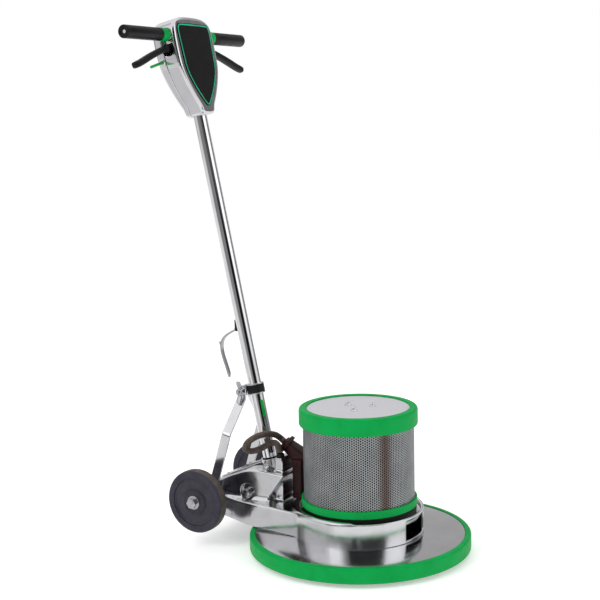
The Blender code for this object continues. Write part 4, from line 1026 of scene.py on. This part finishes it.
def make_tube():
    socket = turn(spindle([(0.0185, -0.070), (0.0190, -0.060, 0.002), (0.0190, -0.0020, 0.0030),
                           (TUBE_R + 0.0016, -0.0020)], 64), UP_TUBE, on_tube(0, 0))
    eye = rod(PIVOT - Vector((0, 0.0200, 0)), PIVOT + Vector((0, 0.0200, 0)), 0.0170, 64, 0.0012)
    web = ((-0.0740, -0.038), (-0.0740, 0.005), (-0.0450, 0.005), (-0.0450, -0.038))
    corners = [on_tube(t, n) for t, n in web]
    web = bevelled(loft([[(p.x, y, p.z) for p in corners] for y in (-0.0160, 0.0160)]), 0.002)
    piece("tube_socket", merged(socket, eye, web), "casting", "handle", nodes=["handle_socket"])
    seal = turned(fillet([(TUBE_R + GAP, -0.0035), (0.0172, -0.0035), (0.0166, 0.0012, 0.0008),
                          (TUBE_R + GAP, 0.0016, 0.0004)]), 64)
    piece("socket_seal", turn(seal, UP_TUBE, on_tube(0, 0)), "black_plastic", "handle")
    low, high, bore = -0.0475, HEAD_T + 0.050, 0.0128
    pipe = turned(fillet([(bore, low), (TUBE_R, low), (TUBE_R, high), (bore, high)]), 96)
    piece("chrome_tube", turn(pipe, UP_TUBE, on_tube(0, 0)), "chrome", "handle", nodes=["handle_tube"])

    steps = 8
    bm = bmesh.new()
    angles = [LABEL_FROM + LABEL_WIDTH * k / steps for k in range(steps + 1)]
    loops = []
    for radius in (TUBE_R + 0.0001, TUBE_R + 0.0003):
        for t in LABEL_T:
            loops.append([bm.verts.new((radius * math.cos(a), radius * math.sin(a), t)) for a in angles])
    inner_low, inner_high, outer_low, outer_high = loops
    sides = ((inner_low, inner_high), (outer_low, outer_high),
             (inner_low, outer_low), (inner_high, outer_high))
    for a, b in sides:
        for k in range(steps):
            bm.faces.new([a[k], a[k + 1], b[k + 1], b[k]])
    for k in (0, steps):
        bm.faces.new([inner_low[k], inner_high[k], outer_high[k], outer_low[k]])
    bm.transform(Matrix.Translation(FOOT) @ Matrix.Rotation(-LEAN, 4, "Y"))
    piece("tube_label", bm, "green_plastic", "handle")


# Middle line of the hook as (t, n) about its root.
HOOK_LINE = ((0.0300, -0.0172), (0.0180, -0.0178), (0.0090, -0.0205), (0.0045, -0.0330),
             (-0.0005, -0.0470), (-0.0090, -0.0590), (-0.0230, -0.0655), (-0.0400, -0.0670),
             (-0.0650, -0.0640), (-0.0830, -0.0618), (-0.0945, -0.0625))
HOOK_ROOT_T = (0.4515 - FOOT.z) / math.cos(LEAN)


def make_hook():
    root = HOOK_ROOT_T
    path = smooth_route([on_tube(root + t, n) for t, n in HOOK_LINE], 5)
    stations, half_widths = [0, 0.2, 0.45, 0.9, 1], [0.0040, 0.0062, 0.0060, 0.0062, 0.0030]
    widths = np.interp(np.linspace(0, 1, len(path)), stations, half_widths)
    strap = sweep(path, [(w, 0.0022) for w in widths], (0, 1, 0), 3.0)
    prong = [on_tube(root - 0.036, -0.0668), on_tube(root - 0.012, -0.0690)]
    prong = sweep(prong, [(0.0034, 0.0018), (0.0024, 0.0012)], (0, 1, 0), 2.4, 16)
    piece("cord_hook_strap", merged(strap, prong), "hook", "handle", nodes=["cord_hook"])
    saddle = [on_tube(root + t, n) for t, n in ((0.034, -0.0150), (0.016, -0.0164), (0.004, -0.0178))]
    saddle = sweep(saddle, [(0.0030, 0.0008), (0.0066, 0.0026), (0.0070, 0.0034)], (0, 1, 0), 2.6, 20)
    piece("hook_saddle", saddle, "black_plastic", "handle")


# ---- handle head ----
# Half of the head's front view as (height, half width).
HEAD_SIDE = ((0.0070, 0.0190), (0.0240, 0.0290), (0.0480, 0.0460), (0.0780, 0.0625), (0.1080, 0.0730),
             (0.1420, 0.0755), (0.1780, 0.0745), (0.1985, 0.0695), (0.2105, 0.0550), (0.2163, 0.0270))


# The shield on the face of the head, in the same way.
DECAL_SIDE = ((0.0250, 0.0060), (0.0450, 0.0240), (0.0640, 0.0380), (0.0890, 0.0520), (0.1090, 0.0580),
              (0.1290, 0.0595), (0.1600, 0.0612), (0.1860, 0.0618), (0.1975, 0.0570), (0.2010, 0.0440))


def head_outline(inset=0.0, per_span=4, side=HEAD_SIDE):
    """Front view of the head as (y, t) points, smooth and set in evenly."""
    right = [(w, t, 0) for t, w in side]
    points = smooth_route(right + [(-w, t, 0) for w, t, _ in reversed(right)], per_span, closed=True)
    out = []
    for k, p in enumerate(points):
        along = (points[(k + 1) % len(points)] - points[k - 1]).normalized()
        out.append((p.x - along.y * inset, p.y + along.x * inset))
    return out


OUTLINE = head_outline()
TUBE_FRAME = np.array([list(AHEAD), [0, 1, 0], list(UP_TUBE)])


def from_tube(points):
    """Places in the part's coordinates of points given as (n, y, t) about the handle's foot."""
    return points @ TUBE_FRAME + np.array(FOOT)


# Hollow in each flank of the head, where the bar and the lever come out.
SCOOP_HALF_T, SCOOP_HALF_N, SCOOP_END, SCOOP_Y = 0.0165, 0.0135, 0.0130, 0.0640


def head_body(n, y, t):
    """Distance to the whole head; its back gets shallower towards the lower end."""
    plan = outline_distance(y, t - HEAD_T, OUTLINE)
    share = np.clip(REAR_SHARE + (1 - REAR_SHARE) * (t - HEAD_T) / REAR_TAPER_T, REAR_SHARE, 1.0)
    behind = np.where(n < SEAM_N, SEAM_N + (n - SEAM_N) / share, n)
    ahead_part = extrude(plan, n, -0.060, 0.0270, 0.0075)
    outside = np.maximum(ahead_part, extrude(plan, behind, -REAR_DEPTH, 0.060, 0.0140))
    above = np.maximum(np.abs(t - (LEVER_T + BAR_T) / 2) - SCOOP_HALF_T, 0)
    scoop = length((n - LEVER_N) / SCOOP_HALF_N, above / SCOOP_END) - 1
    scoop = soft_max(scoop * SCOOP_END, SCOOP_Y - np.abs(y), 0.0040)
    return soft_max(outside, -scoop, 0.0035)


def head_shell(n, y, t):
    """Distance to the head's wall, with its openings for the bar, the levers and the tube."""
    body = head_body(n, y, t)
    shell = soft_max(body, -(body + HEAD_WALL), 0.0006)
    bar = length(n - BAR_N, t - BAR_T) - BAR_R - 0.0012
    shell = soft_max(shell, -bar, 0.0014)
    lever = np.maximum(np.abs(n - LEVER_N) - LEVER_W / 2 - 0.0012, np.abs(t - LEVER_T) - 0.0120)
    shell = soft_max(shell, -np.maximum(lever, 0.035 - np.abs(y)), 0.0012)
    tube = np.maximum(length(n, y) - TUBE_R - 0.0006, t - HEAD_T - 0.0515)
    return soft_max(shell, -tube, 0.0008)


def pin_line():
    """Root of the locking pin, the mouth it comes out of, and its direction."""
    out = Vector((0, -math.cos(PIN_FALL), -math.sin(PIN_FALL)))
    mouth = on_tube(HEAD_T + 0.126, -0.0175, -0.0735)
    return mouth - out * 0.020, mouth, out


# Places of the screws in the back of the head, as (height, side).
HEAD_SCREWS = ((0.024, 0.0), (0.105, 0.052), (0.105, -0.052), (0.196, 0.048), (0.196, -0.048))


def make_head():
    def front(n, y, t):
        return soft_max(head_shell(n, y, t), SEAM_N + 0.0002 - n, 0.0016)

    def rear(n, y, t):
        gland = np.maximum(length(y, t - GLAND_T) - 0.0078, n + 0.018)
        shell = soft_max(head_shell(n, y, t), -gland, 0.0008)
        return soft_max(shell, n - SEAM_N + 0.0002, 0.0016)

    cell = 0.0014 if FINE else 0.0024
    low, high = (-0.040, -0.080, HEAD_T + 0.002), (0.031, 0.080, HEAD_T + 0.228)
    shells = (("head_front", front, "head_front_shell"), ("head_rear", rear, "head_rear_shell"))
    for name, field, node in shells:
        obj = skin(name, field, low, high, cell, carry=from_tube)
        place(obj, "head_casting", "handle", nodes=[node])

    def face_loop(n, inset):
        return [on_tube(HEAD_T + t, n, y) for y, t in head_outline(inset, 6, DECAL_SIDE)]

    panel = loft([face_loop(n, inset) for n, inset in ((0.0272, 0.0), (0.0280, 0.0), (0.0285, 0.0006))])
    piece("head_decal", panel, "decal", "handle", nodes=["decal_panel"])
    bm = bmesh.new()
    loops = [[bm.verts.new(p) for p in face_loop(n, inset)]
             for n, inset in ((0.02855, 0.0020), (0.02855, 0.0047), (0.0283, 0.0047), (0.0283, 0.0020))]
    for a, b in zip(loops, loops[1:] + loops[:1]):
        bridge(bm, a, b)
    piece("decal_border", bm, "decal_line", "handle", "decal")

    face = GLAND_FACE
    ribs = [(0.0074, face - 0.0060), (0.0074, face), (0.0082, face)]
    nose = [(0.0090, face + 0.0050, 0.0006), (0.0088, face + 0.0062, 0.0006)]
    for k in range(2):
        z, r = face + 0.0070 + 0.0030 * k, 0.0084 - 0.0006 * k
        nose += [(r - 0.0010, z, 0.0003), (r, z + 0.0008, 0.0003), (r, z + 0.0020, 0.0003)]
    nose += [(0.0058, face + 0.0135, 0.001), (0.0035, face + 0.0135)]
    nut = bevelled(spindle([(0.0115, face), (0.0115, face + 0.0049)], 6), 0.0008, 2, 20)
    parts = turn(merged(spindle(ribs + nose, 48), nut), -AHEAD, on_tube(GLAND_T, 0))
    piece("cord_entry", parts, "black_plastic", "handle", nodes=["cord_gland"])
    for number, (t, y) in enumerate(HEAD_SCREWS, 1):
        share = min(1.0, REAR_SHARE + (1 - REAR_SHARE) * t / REAR_TAPER_T)
        depth = SEAM_N - (REAR_DEPTH + SEAM_N) * share + (0.0018 if y else 0.0002)
        screw = spindle([(0.0036, -0.002), (0.0036, 0.0008, 0.0006), (0.0016, 0.0018, 0.0006)], 24)
        piece(f"head_screw_{number}", turn(screw, -AHEAD, on_tube(HEAD_T + t, depth, y)), "zinc", "handle")


def make_handlebar():
    centre = on_tube(BAR_T, BAR_N)
    half = Vector((0, BAR_HALF, 0))
    bar = rod(centre - half, centre + half, BAR_R, 64)
    piece("chrome_bar", bar, "chrome", "handle", nodes=["handlebar"])
    bore = BAR_R + GAP
    grip = [(bore, GRIP_FROM), (GRIP_R, GRIP_FROM, 0.0010)]
    for k in range(4):
        y = GRIP_FROM + 0.004 + 0.004 * k
        grip += [(GRIP_R, y, 0.0005), (GRIP_R - 0.0006, y + 0.001, 0.0005), (GRIP_R, y + 0.002, 0.0005)]
    grip += [(GRIP_R, GRIP_TO, 0.0028), (0.0090, GRIP_TO, 0.0010), (0.0080, GRIP_TO - 0.0020, 0.0008),
             (0.0044, GRIP_TO - 0.0022, 0.0006), (0.0036, BAR_HALF + GAP), (bore, BAR_HALF + GAP)]
    collar = fillet([(bore, COLLAR_FROM), (COLLAR_R, COLLAR_FROM, 0.0008),
                     (COLLAR_R, GRIP_FROM - GAP, 0.0008), (bore, GRIP_FROM - GAP)])
    for sign, side in ((-1, "right"), (1, "left")):
        out = (0, sign, 0)
        body = turn(turned(fillet(grip), 64), out, centre)
        piece(f"hand_grip_{side}", body, "grip", "handle", nodes=[f"grip_{side}"])
        ring = turn(turned(collar, 64), out, centre)
        piece(f"green_collar_{side}", ring, "green_rubber", "handle", nodes=[f"grip_collar_{side}"])


def make_levers():
    points = ((0.0560, 0.0020), (0.0680, 0.0020), (0.0820, 0.0009), (0.1030, -0.0045), (0.1320, -0.0135),
              (0.1590, -0.0230), (0.1850, -0.0325), (0.2080, -0.0392))
    pivot = on_tube(LEVER_T, LEVER_N)
    for sign, side in ((-1, "right"), (1, "left")):
        route = [pivot + Vector((0, sign * y, 0)) + UP_TUBE * rise for y, rise in points]
        path = smooth_route(route, 5)
        reach = np.array([abs(p.y) for p in path])
        stations = [0.056, 0.084, 0.090, 0.150, 0.195, 0.210]
        wide = np.interp(reach, stations, [0.0086, 0.0086, 0.0076, 0.0082, 0.0080, 0.0070])
        thick = np.interp(reach, stations, [0.0086, 0.0088, 0.0066, 0.0070, 0.0070, 0.0062])
        lever = sweep(path, list(zip(wide, thick)), AHEAD, 3.2, 28)
        piece(f"lever_blade_{side}", lever, "lever", f"lever_{side}", nodes=[f"switch_lever_{side}"])


def make_pin():
    root, mouth, out = pin_line()
    pin = spindle([(0.0026, 0.0), (0.0030, 0.001, 0.0005), (0.0030, 0.0650, 0.0028), (0.0002, 0.0650)], 32)
    piece("lock_pin_rod", turn(pin, out, root), "green_plastic", "lock", nodes=["lock_pin"])
    ring = [(0.0040, -0.0020), (0.0068, -0.0020), (0.0068, 0.0036, 0.0012), (0.0040, 0.0036, 0.0012)]
    ring = turned(fillet(ring), 40)
    piece("pin_bezel", turn(ring, out, mouth), "chrome", "handle")


# ---- clamp and brace ----
def make_clamp():
    centre, bore, height, flange = on_tube(CLAMP_T, 0), TUBE_R + GAP, 0.0115, 0.0025

    def band(outer, low, high, edge):
        ring = fillet([(bore, low, edge), (outer, low, edge), (outer, high, edge), (bore, high, edge)])
        return turn(turned(ring, 64), UP_TUBE, centre)

    turn_back = Matrix.Translation(centre) @ Matrix.Rotation(-LEAN, 4, "Y")
    parts = [band(0.0195, height - flange, height, 0.0008), band(0.0195, -height, flange - height, 0.0008)]
    steps, half = 16, math.radians(45)
    angles = [math.pi - half + 2 * half * k / steps for k in range(steps + 1)]
    outline = [(0.0225 * math.cos(a), 0.0225 * math.sin(a)) for a in angles]
    outline += [(0.0188 * math.cos(a), 0.0188 * math.sin(a)) for a in reversed(angles)]
    saddle = bevelled(loft([[(x, y, z) for x, y in outline] for z in (-height, height)]), 0.0008, 2)
    saddle.transform(turn_back)
    parts.append(saddle)
    for sign in (-1, 1):
        y0, y1 = sorted((sign * 0.0060, sign * 0.0118))
        ear = block((-0.0330, y0, -height), (-0.0195, y1, height), 0.0015)
        ear.transform(turn_back)
        parts.append(ear)
    piece("clamp_band", merged(*parts), "clamp", "collar", nodes=["clamp_collar"])
    bush = band(0.0190, GAP + flange - height, height - flange - GAP, 0.0005)
    piece("clamp_bush", bush, "black_plastic", "collar", nodes=["collar_bush"])
    at = on_tube(CLAMP_T, CLAMP_BACK)
    shank = spindle([(0.0030, -0.0400), (CLAMP_BOLT_R, -0.0390, 0.0005), (CLAMP_BOLT_R, 0.0228)], 32)
    bolt = merged(shank, hexagon_head(0.0080, 0.0229, 0.0289, 0.0008))
    piece("clamp_screw", turn(bolt, (0, 1, 0), at), "zinc", "collar", nodes=["clamp_bolt"])
    hub = fillet([(CLAMP_BOLT_R + GAP, 0.0228), (0.0090, 0.0228, 0.0010), (0.0084, 0.0290, 0.002),
                  (0.0072, 0.0360, 0.0012), (CLAMP_BOLT_R + GAP, 0.0360)])
    parts = [turn(turned(hub, 40), (0, -1, 0), at)]
    for sign in (-1, 1):
        tips = [(-0.0285, 0.0040), (-0.0305, 0.0110), (-0.0335, 0.0180), (-0.0362, 0.0245)]
        path = smooth_route([at + Vector((0, y, sign * z)) for y, z in tips], 4)
        sizes = np.interp(np.linspace(0, 1, len(path)), [0, 0.5, 1], [0.0044, 0.0062, 0.0050])
        parts.append(sweep(path, [(s, 0.0019) for s in sizes], (1, 0, 0), 2.4, 24))
    piece("wing_nut_cast", merged(*parts), "zinc", "wing", nodes=["wing_nut"])


def make_brace():
    top = on_tube(CLAMP_T, CLAMP_BACK)
    top.y = ARM_TOP_Y
    elbow = ARM_BEND.lerp(top, ARM_ELBOW_SHARE)
    elbow.y = ARM_TOP_Y
    direction = (top - Vector((ARM_BEND.x, top.y, ARM_BEND.z))).normalized()
    eye = AXLE + Vector((0, ARM_Y, 0))
    down = (eye - ARM_BEND).normalized()
    corners = [eye + down * 0.004, ARM_BEND, elbow, top + direction * 0.009]
    path = [corners[0]]
    for k in (1, 2):
        corner = corners[k]
        a = corner + (corners[k - 1] - corner).normalized() * ARM_BEND_CUT
        b = corner + (corners[k + 1] - corner).normalized() * ARM_BEND_CUT
        path += [a * (1 - t) ** 2 + corner * 2 * t * (1 - t) + b * t * t for t in (0, 0.25, 0.5, 0.75, 1)]
    path.append(corners[-1])
    width_axis = Vector((math.cos(ARM_TILT), 0, -math.sin(ARM_TILT)))
    for sign, side in ((-1, "right"), (1, "left")):
        arm = sweep(path, (ARM_W / 2, ARM_T / 2), width_axis, 9.0, 44, (False, False))
        if sign < 0:
            arm.transform(Matrix.Scale(-1, 4, (0, 1, 0)))
        centre, half = Vector((AXLE.x, sign * ARM_Y, AXLE.z)), Vector((0, ARM_T / 2 + 0.0005, 0))
        arm = boolean(arm, rod(centre - half, centre + half, EYE_R, 64, 0.0006), "UNION")
        arm = boolean(arm, rod(centre - half * 3, centre + half * 3, EYE_HOLE_R, 48))
        bolt = Vector((top.x, sign * ARM_TOP_Y, top.z))
        arm = boolean(arm, rod(bolt - half * 3, bolt + half * 3, CLAMP_BOLT_R + 0.0005, 32))
        piece(f"brace_bar_{side}", arm, "brace", "brace", nodes=[f"brace_arm_{side}"])


# ---- CAD nodes that stay, with better materials ----
KEPT = {
    "gear_case": "dark_casting",
    "ring_gear": "gear_steel",
    "stator_core": "lamination",
    "stator_winding": "copper",
    "end_bell": "dark_casting",
    "start_capacitor": "black_plastic",
    "power_switch": "black_plastic",
    "motor_rotor": "gear_steel",
    "cooling_fan": "driver",
    "planet_carrier": "gear_steel",
    "planet_gear_1": "gear_steel",
    "planet_gear_2": "gear_steel",
    "planet_gear_3": "gear_steel",
}


def paint_kept_nodes():
    for name, material in KEPT.items():
        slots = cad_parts[name].material_slots
        for slot in slots:
            slot.material = materials[material]


# ---- stage and light ----
def make_stage():
    mesh = bpy.data.meshes.new("floor")
    reach = 30.0
    corners = [(-reach, -reach, 0), (reach, -reach, 0), (reach, reach, 0), (-reach, reach, 0)]
    mesh.from_pydata(corners, [], [(0, 1, 2, 3)])
    floor = link("floor", mesh)
    paper = Surface("floor_paper", (0.90, 0.90, 0.90), 0.85)
    paper.ramp(paper.noise(3.0, 3.0), 0.2, 0.8, (0.885, 0.885, 0.885), (0.915, 0.915, 0.915))
    paper.set("Emission Color", (1.0, 1.0, 1.0, 1.0))
    paper.set("Emission Strength", 0.36)
    mesh.materials.append(paper.mat)
    floor.visible_glossy = False


# Panels of the studio, as seen from the object: middle (to the right of the camera) and half width,
# lower and upper elevation, softness of the edge (all in degrees) and brightness.
PANELS = (
    (0, 180, 20, 95, 14, 0.88),
    (0, 180, -95, -6, 4, 0.92),
    (-77, 32, -95, -10, 8, 0.66),
    (-30, 30, -6, 14, 4, 0.22),
    (25, 26, -6, 14, 4, 0.010),
    (7, 37, 12, 45, 5, 0.012),
    (-45, 14, 14, 45, 4, 1.30),
    (65, 20, 8, 45, 5, 1.30),
    (180, 55, 5, 40, 8, 0.43),
    (112, 12, -6, 45, 6, 0.10),
    (-118, 9, -6, 45, 6, 0.12),
)
STUDIO_BASE = 0.62
BACKDROP = 1.0


def make_world():
    world = bpy.data.worlds.new("studio")
    bpy.context.scene.world = world
    world.use_nodes = True
    tree = world.node_tree
    tree.nodes.clear()
    place_of = wire(tree, "TexCoord", out=0)
    to_camera = (math.sin(CAMERA_SIDE), -math.cos(CAMERA_SIDE), 0.0)
    to_right = (math.cos(CAMERA_SIDE), math.sin(CAMERA_SIDE), 0.0)
    dots = [wire(tree, "VectorMath", {0: place_of, 1: axis}, out=1, operation="DOT_PRODUCT")
            for axis in (to_camera, to_right, (0.0, 0.0, 1.0))]
    degrees = 180 / math.pi
    turn_angle = wire(tree, "Math", {0: dots[1], 1: dots[0]}, operation="ARCTAN2")
    turn_angle = wire(tree, "Math", {0: turn_angle, 1: degrees}, operation="MULTIPLY")
    rise = wire(tree, "Math", {0: dots[2]}, operation="ARCSINE")
    rise = wire(tree, "Math", {0: rise, 1: degrees}, operation="MULTIPLY")

    def within(angle, middle, half, soft):
        return closeness(tree, angle, middle, half + soft, half - soft)

    light = wire(tree, "Value")
    light.default_value = STUDIO_BASE
    for middle, half, low, high, soft, value in PANELS:
        mask = within(rise, (low + high) / 2, (high - low) / 2, soft)
        if half < 180:
            sideways = within(turn_angle, middle, half, soft)
            mask = wire(tree, "Math", {0: mask, 1: sideways}, operation="MULTIPLY")
        change = wire(tree, "Math", {0: value, 1: light}, operation="SUBTRACT")
        light = wire(tree, "Math", {0: change, 1: mask, 2: light}, operation="MULTIPLY_ADD")
    studio = wire(tree, "Background", {"Color": (1, 1, 1, 1), "Strength": light})
    paper = wire(tree, "Background", {"Color": (1, 1, 1, 1), "Strength": BACKDROP})
    seen = wire(tree, "LightPath", out=0)
    mixed = wire(tree, "MixShader", {0: seen, 1: studio, 2: paper})
    wire_out = tree.nodes.new("ShaderNodeOutputWorld")
    tree.links.new(mixed, wire_out.inputs[0])


def make_light(name, at, target, size, power):
    data = bpy.data.lights.new(name, "AREA")
    data.shape = "DISK"
    data.size = size
    data.energy = power
    obj = link(name, data)
    obj.location = at
    obj.rotation_euler = (Vector(target) - Vector(at)).to_track_quat("-Z", "Y").to_euler()
    obj.visible_camera = False
    obj.visible_glossy = False


def make_lights():
    make_light("key", (-1.2, -2.2, 2.6), (-0.1, 0, 0.3), 1.6, 26.0)
    make_light("fill", (2.6, -1.0, 1.4), (-0.1, 0, 0.4), 1.8, 12.0)
    make_light("rim", (-1.0, 2.4, 2.2), (-0.1, 0, 0.5), 1.6, 14.0)


make_camera()
make_lead()
make_casting()
make_disc()
make_pad()
make_cover()
make_liner()
make_motor()
make_wheels()
make_box()
make_tube()
make_hook()
make_head()
make_handlebar()
make_levers()
make_pin()
make_clamp()
make_brace()
paint_kept_nodes()
make_stage()
make_world()
make_lights()
bpy.context.scene.view_settings.view_transform = "Standard"
